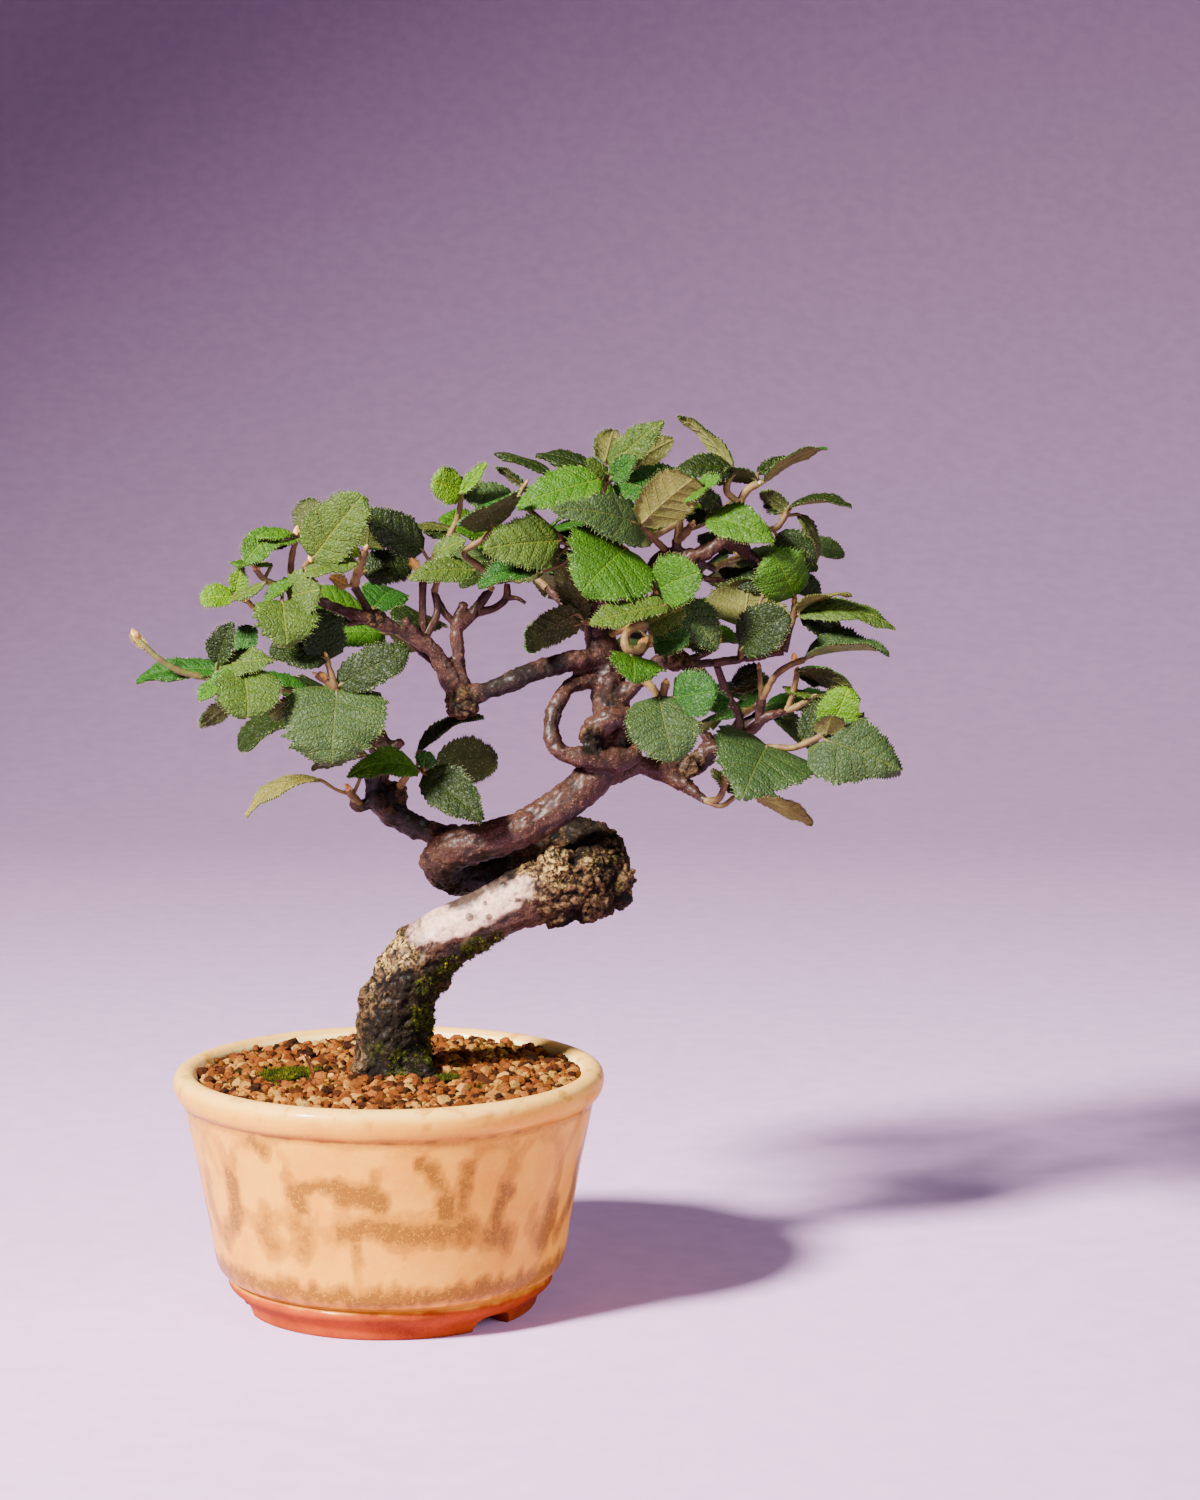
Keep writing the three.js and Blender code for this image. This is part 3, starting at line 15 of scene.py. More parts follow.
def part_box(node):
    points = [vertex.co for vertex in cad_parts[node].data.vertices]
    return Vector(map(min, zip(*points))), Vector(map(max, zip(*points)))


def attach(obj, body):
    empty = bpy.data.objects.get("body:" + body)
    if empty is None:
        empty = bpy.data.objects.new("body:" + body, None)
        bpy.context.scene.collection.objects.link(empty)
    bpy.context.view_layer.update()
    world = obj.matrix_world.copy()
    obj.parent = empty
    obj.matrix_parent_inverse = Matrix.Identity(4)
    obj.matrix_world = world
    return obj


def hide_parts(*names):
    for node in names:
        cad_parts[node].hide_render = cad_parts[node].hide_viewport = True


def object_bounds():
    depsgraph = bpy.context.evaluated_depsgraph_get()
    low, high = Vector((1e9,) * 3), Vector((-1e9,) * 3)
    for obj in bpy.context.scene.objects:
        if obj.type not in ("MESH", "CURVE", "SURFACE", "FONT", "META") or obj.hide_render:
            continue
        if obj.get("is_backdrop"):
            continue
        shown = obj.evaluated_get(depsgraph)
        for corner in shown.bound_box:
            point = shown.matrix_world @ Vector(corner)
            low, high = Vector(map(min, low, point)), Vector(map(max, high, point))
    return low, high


bl_info = {
    "name": "Viburnum Bonsai",
    "version": (1, 0, 0),
    "blender": (4, 5, 0),
    "location": "View3D > Sidebar > Bonsai",
    "description": "Models the wood, leaves, moss, soil and glazed pot of a small viburnum bonsai",
    "category": "Add Mesh",
}

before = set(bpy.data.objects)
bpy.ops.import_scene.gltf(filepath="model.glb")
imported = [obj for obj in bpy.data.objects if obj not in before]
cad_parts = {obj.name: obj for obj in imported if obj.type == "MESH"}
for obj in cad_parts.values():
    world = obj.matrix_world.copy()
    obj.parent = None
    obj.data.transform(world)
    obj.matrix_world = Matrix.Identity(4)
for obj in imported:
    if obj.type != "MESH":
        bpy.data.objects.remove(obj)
CAD_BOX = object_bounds()

# The pot's axis, and the eye that the front view is read from, measured from that axis (its distance in mm)
POT_LOW, POT_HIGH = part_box("pot")
AXIS = np.array([(POT_LOW.x + POT_HIGH.x) / 2, (POT_LOW.y + POT_HIGH.y) / 2, 0.0])
EYE_DISTANCE = 973
EYE = np.array([0.0588, -EYE_DISTANCE / 1000, 0.272])

# The trunk, from the soil to its top, as (x, z, y, radius) of the front view in millimetres
TRUNK = (
    (0.3, 50, 0, 7), (0.5, 64, 0, 11.7), (1, 72, 0, 10.8), (1.8, 80, -0.5, 10.8), (4, 89, -1.5, 10.3),
    (9, 97.5, -2.5, 9.6), (15.5, 103, -3, 8.9), (30, 111, -3.5, 7.8), (37, 114.5, -3, 8.6),
    (45, 117.5, -1, 10.2), (53, 119.5, 2, 10.8), (58.5, 123, 8, 9.4), (57, 129, 15, 7.6),
    (50, 131, 20, 6.6), (42, 128, 22, 6), (24, 120.5, 18, 6.1), (15, 124, 5, 6), (17, 127.6, -1, 6.1),
    (33, 132.3, -5, 5.3), (42, 136.5, -5, 5.2), (50, 142, -4, 5.3), (56, 147.5, -2, 5.6),
    (60.5, 153.5, 0, 6), (62.5, 161, 2, 5.4), (61.5, 170, 4, 5.2), (60.5, 180, 5, 5),
    (58.5, 188, 5, 4.2), (57, 195, 4, 3.2), (56, 199, 3, 2),
)
# Branches and bare twigs, each from its root to its end
BRANCHES = (
    (
        (57, 176, 3, 2.8), (51, 174, 0, 2.5), (47.5, 169.5, -3, 2.4), (45.5, 164, -5, 2.4),
        (45.6, 159, -7, 2.4), (48, 155.5, -8, 2.6), (54, 154, -8, 2.9), (61, 153, -6, 3.1),
        (67, 154, -4, 2.7), (70, 158.5, -2, 1.6),
    ),
    ((54.5, 158.5, -3, 2.4), (58, 162.3, -6, 3.6), (63, 165, -7, 3.4), (68, 164.6, -5, 2.5)),
    (
        (61, 183, 4, 3.3), (55, 181.5, 1, 3), (48, 180, -2, 2.8), (40, 177.4, -5, 2.7),
        (33, 174.4, -7, 2.7), (27, 172, -8, 2.7), (21, 170.5, -9, 3.6),
    ),
    (
        (20, 170, -9, 3.4), (15, 180.5, -10, 2.6), (11.5, 185, -11, 2.4), (2, 189.8, -12.5, 1.9),
        (-3, 192, -13, 2.2), (-8, 193.2, -13.5, 1.8), (-13, 195, -14, 1.6), (-19, 197.8, -15, 1.5),
        (-24, 200.8, -15, 1.2),
    ),
    ((-4, 192.5, -13, 1.5), (-6, 196.5, -12, 1.2), (-8.7, 201, -11, 1.1)),
    ((-6, 192, -13.5, 0.9), (-10.8, 190.6, -15, 0.6)),
    ((9.5, 186, -11.5, 1.7), (5, 192.3, -15, 1.3)),
    ((10, 187, -11, 1.3), (10, 195, -11, 1), (10.1, 202.5, -11, 1)),
    ((11, 188, -11, 1.3), (14, 194, -9, 1.1), (13.2, 200, -8, 0.9)),
    ((19.4, 190.3, -7.5, 0.9), (15, 195.5, -7, 1.2), (13.8, 199, -6.5, 0.8)),
    (
        (20, 171, -9, 3.1), (20, 180, -8, 2.1), (19.3, 186, -7.5, 1.7), (19.4, 191, -7, 1.8),
        (21.5, 197, -6, 1.1),
    ),
    ((19.6, 190.6, -7, 1.8), (23.5, 193.5, -6, 1.7), (26, 197, -5.5, 1.5), (29, 200.5, -5, 1)),
    ((25, 194.2, -6, 1.5), (29.5, 195.2, -5, 1.1), (33, 198, -4.5, 1.1), (33.3, 202, -4.5, 0.8)),
    ((33.2, 198, -4.5, 0.9), (36, 198, -4.5, 0.7), (38.3, 196.7, -4, 0.6)),
    (
        (19, 131, 2, 4), (12, 133, 6, 3.6), (5, 136, 7, 3.6), (-1, 141.5, 7, 4.4), (-3, 147.5, 7, 3.8),
        (-1.3, 154, 6, 3.2), (-2.6, 159.5, 5, 2.9), (-3.8, 164, 4, 1.5),
    ),
    ((0, 143, 7, 3.4), (5, 145, 8, 1.6)),
    ((-3, 142, 6, 2.4), (-8.2, 140.2, 5, 1.6), (-9.6, 142.8, 4, 1.2)),
    ((0, 156, 5, 2.4), (4.5, 158.5, 4, 1.4)),
    (
        (61, 150, 1, 4.2), (69, 152, 4, 3.1), (78, 149, 3, 2.8), (84, 145, 0, 1.8),
        (88.3, 141.6, -3, 1.2),
    ),
    (
        (76, 151, 4, 2.8), (83, 151.5, 6, 3.2), (88, 154.5, 7, 3), (89, 158.5, 7, 2.1),
        (86.3, 161.6, 6, 1.1),
    ),
    (
        (87, 154.5, 6, 2.2), (94, 158, 3, 1.7), (100, 161.2, 0, 1.5), (105, 165.3, -2, 1.5),
        (111, 166.8, -3, 1.2),
    ),
    ((102.6, 163.6, -1, 1.2), (103.4, 170.3, -2, 1.4)),
    (
        (98, 160.5, 1, 1.1), (97, 166, 2, 1.1), (94, 171, 1, 1.3), (92.3, 175.5, -1, 1.1),
        (91, 179.5, -4, 1),
    ),
    (
        (62.5, 169, 3, 2.8), (70, 175.3, 0, 2.2), (75, 180.3, -3, 2.3), (80, 181.2, -5, 2.8),
        (85, 180, -6, 1.6), (98, 181.2, -6, 1.2), (104, 182.3, -6, 1.2), (109.5, 183.4, -6, 1.5),
    ),
    ((84, 181.2, -6, 1.2), (89.5, 183.5, -7, 0.8)),
    ((109.3, 183.3, -6, 1.3), (110.5, 187.5, -6, 1), (111.2, 190.5, -6, 1)),
    (
        (58, 189, 4.5, 3), (64, 196.5, 3, 3.1), (71, 203, 1, 2.8), (77, 209.8, 0, 2.4),
        (83, 209.3, -2, 2.6), (88, 210.8, -3, 2.2), (93, 214.3, -4, 1.9), (97.3, 216.3, -4, 1.5),
    ),
    ((94, 213.8, -2, 2.3), (98.3, 211.5, 1, 2.2), (99.3, 208.6, 2, 1.2)),
    ((98.5, 211.5, 1, 1.2), (103, 207.6, 1, 0.8), (102, 205.4, 1, 0.6)),
    ((79.5, 209.8, -1, 1.8), (80, 214, -3, 1.4)),
    ((84, 207.5, -1, 2), (87, 203.8, 1, 1.2), (93.5, 202.8, 3, 0.7)),
    ((63.5, 194.6, 0, 1.1), (60, 196.3, -3, 1), (57.2, 199.3, -5, 0.9)),
    ((61.5, 171, 6, 2.4), (65, 177, 13, 1.7), (70, 183, 21, 1.2)),
    ((59, 187, 7, 2.2), (51, 194, 13, 1.6), (44, 201, 21, 1.1)),
    ((57.5, 194, 5, 1.8), (61, 203, 12, 1.4), (64, 211, 19, 1)),
    ((83, 209, 0, 1.6), (86, 208, 9, 1.3), (90, 206, 17, 1)),
    ((19, 174, -8, 1.7), (14, 179, 2, 1.3), (7, 186, 12, 1)),
    ((91, 157.2, 5, 1.4), (95, 161, 12, 1.1), (98, 166, 19, 0.9)),
    ((-2, 157, 6, 1.8), (-7, 162, 13, 1.3), (-12, 168, 20, 1)),
)
# Old knobs and healed cuts
KNOBS = (
    (47, 122.5, -4, 6.6), (56, 113.5, -1, 6.8), (62, 120, 4, 6.6), (64.3, 115.3, 3, 4.2),
    (53.5, 130.5, 13, 5.6), (47, 111.5, -3, 5.6), (20.6, 169, -9.5, 4.6), (22.5, 167.8, -11, 3),
    (56.8, 159.5, -5, 3.4), (79.5, 181, -6, 3.3), (83, 179.6, -7, 2.6), (1, 143, 8, 4.6),
    (-3, 192.6, -13.5, 2.6), (84.5, 151.5, 5, 3.7), (5, 103, -3, 3.8), (12.5, 92.5, -3, 5.2),
    (-4, 86, -2, 5.4), (8, 66, -7, 5), (-6, 65.6, -6, 5),
)
# Leafy stems of the front view: a letter for the look of each leaf, then stems as a radius and places
# (x, z, y), then leaves as base x, z, y, tip x, z, y, width, face, fold and arch
SPRAYS = {
    "far_left": ("mdppbmoyo", (
        (
            1, (-4.6, 160.5, 4), (-10, 166.5, -2), (-18, 170.8, -9), (-30, 173, -15),
            (-46, 175.5, -20), (-56, 177.5, -23), (-63, 181.5, -25), (-68.6, 186.9, -25),
        ),
    ), (
        (-46, 178, -19, -69, 175.8, -16, 10, 55, 10, 0.05),
        (-47, 179.5, -21, -42.5, 191.3, -24, 8.5, 25, 20, 0),
        (-45.5, 179.5, -22, -31.5, 181, -25, 9.5, 40, 10, 0.05),
        (-40, 178.5, -24, -38.5, 165.3, -33, 17, 8, 10, 0.08),
        (-41, 177.3, -25, -52, 170, -28, 6.5, 40, 25, 0),
        (-40, 183, -14, -37.5, 190.5, -12, 7, 20, 0, 0),
        (-43, 169, -14, -51.6, 162.3, -10, 6, 150, 5, 0),
        (-66, 184.5, -25, -70.3, 188.3, -26, 3, 30, 15, 0),
        (-27, 169.3, -13, -32.2, 165.3, -10, 4.5, 20, 0, 0),
    )),
    "upper_left": ("llpbbbdboppppb", (
        (0.9, (-23.5, 200.4, -15), (-28.5, 201.3, -17), (-33.5, 203.2, -19), (-35.8, 206, -20)),
        (0.8, (-23.6, 200.5, -15), (-27.5, 196.6, -12), (-34.5, 194.2, -13), (-38.5, 197.6, -16)),
        (0.9, (-23.5, 200.4, -15), (-22.5, 206, -19), (-20.6, 209, -22)),
        (0.9, (-26, 200.7, -16), (-26, 208, -15.5), (-24.4, 215.4, -17)),
    ), (
        (-42, 198.5, -18, -51, 197.7, -20, 8, 35, 15, 0.05),
        (-41.5, 199, -17, -39.5, 207, -17, 5.5, 15, 15, 0),
        (-33.5, 202.2, -21, -43, 197.3, -23, 5, 55, 5, 0),
        (-30.5, 216.3, -19, -38.5, 208, -24, 8.5, 20, 15, 0.05),
        (-31.5, 207.6, -16, -42, 207.7, -22, 9, 82, 10, 0),
        (-25.5, 215.8, -19, -35.3, 215, -22, 7, 62, 10, 0.05),
        (-25, 214.7, -14, -31.3, 213.3, -12, 6, 60, 0, 0),
        (-23, 214.4, -20, -29.8, 212.6, -24, 5, 80, 0, 0),
        (-20.5, 216.5, -13, -21.5, 225, -8, 9, 160, 0, 0.05),
        (-20, 209, -23, -6.5, 226, -30, 15, 10, 12, 0.05),
        (-22, 205.5, -22, -8, 207.3, -27, 8.5, 50, 12, 0.06),
        (-26.8, 198.2, -21, -18.3, 200.3, -26, 13, 15, 10, 0.05),
        (-28.5, 197, -24, -27.5, 185.3, -31, 17, 10, 10, 0.1),
        (-25.5, 203, -20, -33.3, 197.2, -23, 5.5, 50, 25, 0),
    )),
    "left_front": ("uddd", (
        (
            1, (-2.4, 163.5, 2), (-8, 168, -10), (-13.7, 172.6, -20), (-15.3, 177, -21),
            (-16.7, 181.7, -21),
        ),
        (1, (-14.3, 173.6, -20), (-19.3, 176.8, -21)),
    ), (
        (-13.8, 172.3, -22, -15.3, 152.5, -31, 29.5, 5, 8, 0.08),
        (-13, 174, -21, 5.5, 184, -24, 11.5, 20, 10, 0.05),
        (-16.6, 181.5, -21, -18.5, 195, -17, 12.5, 10, 8, 0.05),
        (-17, 181.5, -22, -32, 184.5, -20, 11, 40, 10, 0.05),
    )),
    "lower_left": ("ko", (
        (1.3, (-7.5, 140.6, 5), (-9.7, 143.2, 3), (-11, 145.2, 1)),
    ), (
        (-18.8, 147.8, -3, -39.5, 138, -12, 9.5, 62, 15, 0.15),
        (-6, 155, 0, -21, 151, -4, 9, 110, 5, 0.05),
    )),
    "low_middle": ("bdodm", (
        (1, (3.5, 146, 6), (6, 149.3, 0), (9.6, 150.7, -6)),
    ), (
        (8.5, 150.5, -8, -11, 148.5, -16, 11, 45, 12, 0.2),
        (10, 149.5, -8, 26, 136.7, -19, 13, 12, 12, 0.05),
        (13.5, 151, -2, 30, 153.3, 4, 13.5, 165, 8, 0.08),
        (8.3, 155.5, -3, 26.2, 165.7, -8, 8, 62, 15, 0.1),
        (10, 151, -9, 11, 155.5, -10, 5.5, 10, 10, 0),
    )),
    "left_middle": ("oldn", (
        (1.3, (-8.8, 201.5, -11), (-7.5, 206, -13), (-5.7, 211, -14)),
    ), (
        (-5.5, 211.5, -12, -4.5, 218.5, -6, 10, 165, 5, 0.05),
        (-7.3, 209.8, -15, -11.7, 213.8, -18, 3.5, 30, 10, 0),
        (-5.5, 205.5, -9, 7, 207.5, -5, 10.5, 20, 5, 0.08),
        (-10.5, 201.5, -13, -15.2, 204, -16, 4, 20, 10, 0),
    )),
    "top_left": ("dypbpdoll", (
        (0.9, (10.1, 202.6, -11), (11, 207, -12), (13.3, 209.2, -12.5)),
        (
            0.9, (13.3, 200, -8), (14.6, 205, -10), (14.6, 209.5, -12), (17, 214, -12),
            (20, 221, -13), (20.8, 226.5, -14),
        ),
    ), (
        (10.3, 211, -14, -6.3, 222.5, -20, 12, 18, 12, 0.06),
        (9.3, 205.5, -13, 6.8, 209.3, -15, 2.4, 0, 20, 0),
        (24.5, 205.7, -18, 6.3, 203.8, -24, 8.5, 40, 12, 0.05),
        (20.5, 208.7, -15, 10.3, 206.8, -19, 5.5, 70, 10, 0),
        (13, 210.5, -14, 21.8, 214, -19, 6, 35, 5, 0),
        (20.5, 215, -10, 10.5, 216.5, -7, 7, 68, 0, 0.03),
        (17.5, 217, -8, 9, 218.4, -4, 7, 70, 0, 0.03),
        (21, 227, -14, 13, 230, -18, 10.5, 15, 20, 0.03),
        (20.6, 227, -15, 27.6, 235.2, -16, 4.8, 35, 20, 0),
    )),
    "top_middle": ("udodkbpmodpmpk", (
        (1, (56.2, 198, 3), (56.5, 207, -3), (49, 214, -10)),
        (1, (56.2, 198, 3), (55, 210, 0), (58, 222, -2), (60.8, 231, -5)),
        (0.8, (50.5, 212.6, -8.8), (42, 220, -10), (36.5, 225.5, -10), (38.5, 229.5, -9)),
    ), (
        (35, 225.2, -8, 21.5, 226.5, -11, 9, 38, 5, 0.05),
        (45.5, 232.3, -5, 30, 238, -2, 7.5, 68, 0, 0.05),
        (38, 229, -8, 30.6, 234.3, -8, 5, 120, 10, 0),
        (57, 233.3, -2, 41.5, 237.7, 2, 10, 60, 5, 0.06),
        (60, 235, 0, 62.3, 243.8, 6, 8, 165, 5, 0.04),
        (59.5, 230.8, -8, 36, 223.5, -14, 14, 35, 8, 0.08),
        (48, 213.7, -14, 27, 211.7, -24, 15, 15, 10, 0.06),
        (44.5, 208.2, -14, 25.3, 201.5, -20, 10, 35, 25, 0.05),
        (43, 205.3, -8, 35, 203, -6, 5, 60, 0, 0), (57.5, 214.5, -8, 46, 215.3, -6, 7, 50, 0, 0),
        (61.5, 233, -8, 76, 246.3, -14, 9.5, 22, 12, 0.06),
        (61.8, 231, -10, 68.3, 236.8, -16, 7, 30, 15, 0),
        (61, 232, -8, 55.3, 236, -10, 5, 45, 5, 0),
        (66.5, 234.5, -2, 78.8, 241.5, 2, 10, 160, 5, 0.05),
    )),
    "fork_top": ("o", (
        (
            0.9, (29, 200.4, -5), (26.5, 206, -8), (21.5, 210.3, -10), (24, 212.6, -11),
            (27.6, 215, -12), (29.2, 218, -12),
        ),
    ), (
        (29.2, 218, -13, 26.5, 223.8, -25, 16.5, 180, 8, 0.05),
    )),
    "top_right": ("ukbmndd", (
        (1, (77, 211, 0), (73, 215, -6), (70.2, 218.3, -10)),
        (1.2, (80, 213.5, -3), (80.5, 219, -5), (80, 225, -7), (81.3, 230.5, -8)),
        (1.3, (80.1, 214, -3.5), (84, 218, -7)),
        (0.9, (73.5, 215, -5.5), (77, 216.8, -5.5), (80.4, 219, -5)),
    ), (
        (68.5, 218.7, -14, 46, 222.5, -22, 14, 25, 12, 0.1),
        (70.3, 218.7, -12, 85, 231.2, -20, 15, 160, 15, 0.05),
        (81.3, 225.5, -13, 91.2, 231.4, -21, 5.5, 45, 15, 0),
        (80.8, 231.5, -8, 66, 230.5, -12, 9, 42, 8, 0.05),
        (70, 216, -8, 58, 215.3, -8, 5.5, 30, 15, 0), (90, 220, -3, 82, 221, 2, 6, 30, 0, 0),
        (86, 227, -4, 92.6, 222.7, 0, 6, 20, 0, 0),
    )),
    "upper_right": ("dkokdbdoddo", (
        (1.2, (96, 216, -4), (97, 221, -5), (97.5, 225, -6), (99.5, 228, -7), (103, 229.8, -7)),
        (1, (97.2, 224, -6), (93.5, 227.5, -8), (95, 232.6, -7)),
        (1, (96.5, 216.4, -4), (103, 216.5, -5), (107.3, 217.5, -6), (110.3, 221.8, -7)),
    ), (
        (95.3, 233.3, -8, 80, 233.3, -13, 9, 38, 5, 0.08),
        (95.4, 233.8, -5, 80.5, 248.2, -2, 8, 118, 5, 0.05),
        (101.5, 230.8, -7, 90.5, 230.2, -8, 9, 118, 5, 0.15),
        (103.7, 230.2, -8, 120.7, 239.6, -12, 8, 115, 8, 0.08),
        (102, 232.3, -4, 109.5, 237, 0, 4.5, 30, 0, 0),
        (88, 220, -10, 106.5, 213.5, -19, 11, 25, 8, 0.12),
        (110.6, 223.3, -9, 127.5, 224.3, -13, 11, 78, 28, 0.03),
        (110.2, 222.5, -6, 103, 227.4, -6, 7.5, 125, 5, 0.05),
        (108.5, 221.5, -3, 104, 225, 0, 4.5, 30, 0, 0),
        (107.2, 215.5, -6, 117.7, 209, -10, 9, 28, 8, 0.05),
        (113.5, 221, -5, 118.6, 207.7, -3, 6, 55, 5, 0.12),
    )),
    "right_upper": ("bkpd", (
        (1, (111.1, 190, -6), (112, 193.5, -6.5), (112.4, 197.6, -8)),
    ), (
        (112.3, 198.5, -9, 106.5, 210.2, -15, 15.5, 8, 8, 0.06),
        (112.8, 195.5, -8, 127.5, 199.8, -15, 11, 98, 12, 0.05),
        (113.5, 193.7, -7, 140, 190, -12, 10, 55, 10, 0.12),
        (114, 193.5, -4, 127, 187, 5, 9, 30, 5, 0.05),
    )),
    "right_middle": ("dkd", (
        (1, (97.5, 181.5, -6.5), (98, 186, -4), (98.2, 190.5, -3)),
    ), (
        (97.7, 184, -10, 110.3, 193.7, -16, 13.5, 15, 15, 0.06),
        (98.3, 190.8, -4, 100, 202.5, 2, 21.5, 172, 5, 0.08),
        (104, 201, -1, 91.5, 206, 6, 7, 30, 0, 0.03),
    )),
    "front_middle": ("bbp", (
        (1, (70.5, 203.4, 0), (69.6, 205.5, -5), (67.8, 208.5, -9), (65.7, 211.5, -13)),
        (1, (69.6, 205.5, -5), (72.3, 203, -10), (74.2, 200, -16)),
    ), (
        (65.6, 211.7, -14, 54, 200.3, -27, 25, 5, 8, 0.08),
        (74.3, 200, -16, 86, 205, -25, 14.5, 8, 8, 0.06),
        (73, 198.7, -16, 80.5, 197.6, -20, 5, 25, 5, 0),
    )),
    "middle_right": ("pmpunub", (
        (
            1, (61.5, 188, 4), (68, 190.2, -6), (72.5, 190.5, -12), (75, 194, -12),
            (77.5, 196.8, -12), (81, 197, -11),
        ),
        (
            1.3, (72.3, 190.5, -12), (68.5, 190.3, -14), (65.8, 187.5, -16), (66.3, 184, -17),
            (69, 183.3, -17), (70.8, 185.7, -16),
        ),
        (0.8, (72.3, 190.3, -12), (73.6, 186, -13)),
    ), (
        (71.8, 190.5, -13, 82, 195, -17, 9.5, 20, 10, 0.04),
        (73.5, 185.6, -14, 83, 187, -20, 8.5, 20, 8, 0.04),
        (76.8, 196, -22, 56.3, 191, -29, 8.8, 42, 12, 0.05),
        (81.5, 197.5, -12, 91, 183.8, -16, 11.5, 20, 12, 0.05),
        (82, 197.7, -6, 92.3, 186, -2, 5, 30, 0, 0), (83, 186.3, -9, 90, 184, -12, 4.5, 25, 0, 0),
        (67.5, 182, -18, 68, 175, -25, 14, 25, 10, 0.08),
    )),
    "middle_left": ("ooo", (
        (1, (57, 191.5, 4), (54, 191.6, -2)),
    ), (
        (52.5, 193.8, -4, 37.9, 184.6, -14, 9.5, 150, 10, 0.12),
        (53, 191, -3, 40, 185.5, -6, 8, 140, 10, 0.08),
        (54.3, 191.8, -2, 47, 209.3, -6, 9, 150, 10, 0.05),
    )),
    "right_front": ("umm", (
        (1.1, (70.4, 175.6, 0), (73.5, 173, -10), (76, 169, -16)),
        (1.2, (75.8, 169.4, -15.5), (76.8, 174.5, -15)),
    ), (
        (75, 170.8, -17, 79, 153.3, -28, 18.5, 8, 8, 0.08),
        (79, 170.5, -17, 90.7, 172.5, -24, 13, 12, 10, 0.06),
        (88.5, 171.5, -12, 93.7, 167, -16, 6, 15, 8, 0),
    )),
    "low_right": ("ukoukld", (
        (
            1, (88, 141.8, -3), (91.5, 142.3, -5), (93.2, 146, -6), (94.2, 151, -7), (98, 155, -9),
            (105, 156.8, -12), (112, 156.6, -14), (117.3, 158.6, -15), (121, 160.7, -16),
        ),
        (0.8, (88.3, 141.6, -3.5), (92.5, 140.4, -5), (97.2, 143.5, -6), (101, 143.4, -6)),
    ), (
        (105, 157, -14, 98.3, 142.8, -31, 30, 3, 8, 0.08),
        (102, 143, -6, 117.9, 135.7, -9, 8, 125, 8, 0.05),
        (96.5, 144.3, -3, 89.7, 150.7, 0, 4.5, 30, 0, 0),
        (121, 158.8, -17, 142, 150.3, -22, 22, 10, 10, 0.05),
        (121.3, 160.8, -18, 122.5, 165.8, -21, 8.5, 160, 10, 0),
        (122.5, 161.5, -15, 127.3, 173, -17, 11, 8, 8, 0.05),
        (115, 158.5, -11, 119, 170.3, -6, 6.5, 25, 5, 0),
    )),
    "right_lower": ("udo", (
        (1, (103.3, 169.6, -2), (105, 173, -3), (107.5, 177, -5), (111.5, 179.7, -7), (115, 181, -8)),
        (0.9, (103.4, 170.6, -2), (103, 175, -3), (102.7, 178.4, -2)),
    ), (
        (115, 181.5, -10, 138.3, 183.3, -14, 18, 78, 38, 0.05),
        (102.6, 178.4, -1, 95, 174.8, 3, 5.5, 30, 0, 0),
        (102.3, 173.8, 1, 95.3, 173, 6, 4, 40, 0, 0),
    )),
    "right_end": ("odpo", (
        (0.9, (110.4, 167, -3), (112, 171.5, -4), (113.2, 177.5, -6)),
        (0.9, (110.4, 167, -3), (113, 168, -4), (117.3, 170.6, -5)),
    ), (
        (113.6, 178.4, -7, 130.7, 170, -9, 11, 118, 10, 0.1),
        (113, 177.3, -4, 121.3, 174.3, 0, 5.5, 55, 0, 0),
        (117.5, 170.8, -5, 109.3, 173.7, -2, 6, 70, 0, 0),
        (117.5, 171, -6, 127, 171.8, -9, 7, 85, 0, 0),
    )),
}
# Twigs that fill the crown behind: a seed and places (x, z, y)
BACK_TWIGS = {
    "back_middle": (11, (69.8, 182.7, 20.6), (72, 185.5, 28), (73, 188, 36)),
    "back_left": (23, (44.3, 200.7, 20.6), (39, 206, 28), (35, 210, 37)),
    "back_top": (37, (63.8, 210.5, 18.6), (64, 218, 26), (62, 223, 35)),
    "back_right": (41, (89.7, 206.1, 16.5), (95, 208.5, 25), (101, 210, 33)),
    "back_far_left": (53, (7.3, 185.7, 11.6), (1, 190, 20), (-5, 193, 29)),
    "back_low_right": (67, (97.8, 165.7, 18.6), (102, 168, 26), (106, 168, 35)),
    "back_low_left": (71, (-11.7, 167.6, 19.6), (-17, 169, 27), (-23, 169, 35)),
}
BACK_PAIRS = 3
BACK_LEAF_LENGTH = 0.020
# The draws behind follow one rule of whole numbers, so that the solids can follow it too
DRAW_STEP = 16807
DRAW_SPAN = 2147483647

# What each letter of a spray means: the colour of the side that the front view shows. m is the mid green, d
# a darker copy painted as shade for leaves in the crown's shade, b a lighter copy painted as light for
# leaves in the light; the other letters are the leaves' own hues
LEAF_TONES = {
    "m": 0x16380A, "d": 0x101C02, "b": 0x264606, "u": 0x223216, "o": 0x2A300F, "l": 0x365400,
    "k": 0x505024, "p": 0x2E4012, "y": 0x98823E, "n": 0x5C4820,
}
UNDERSIDE = 0x6E7238

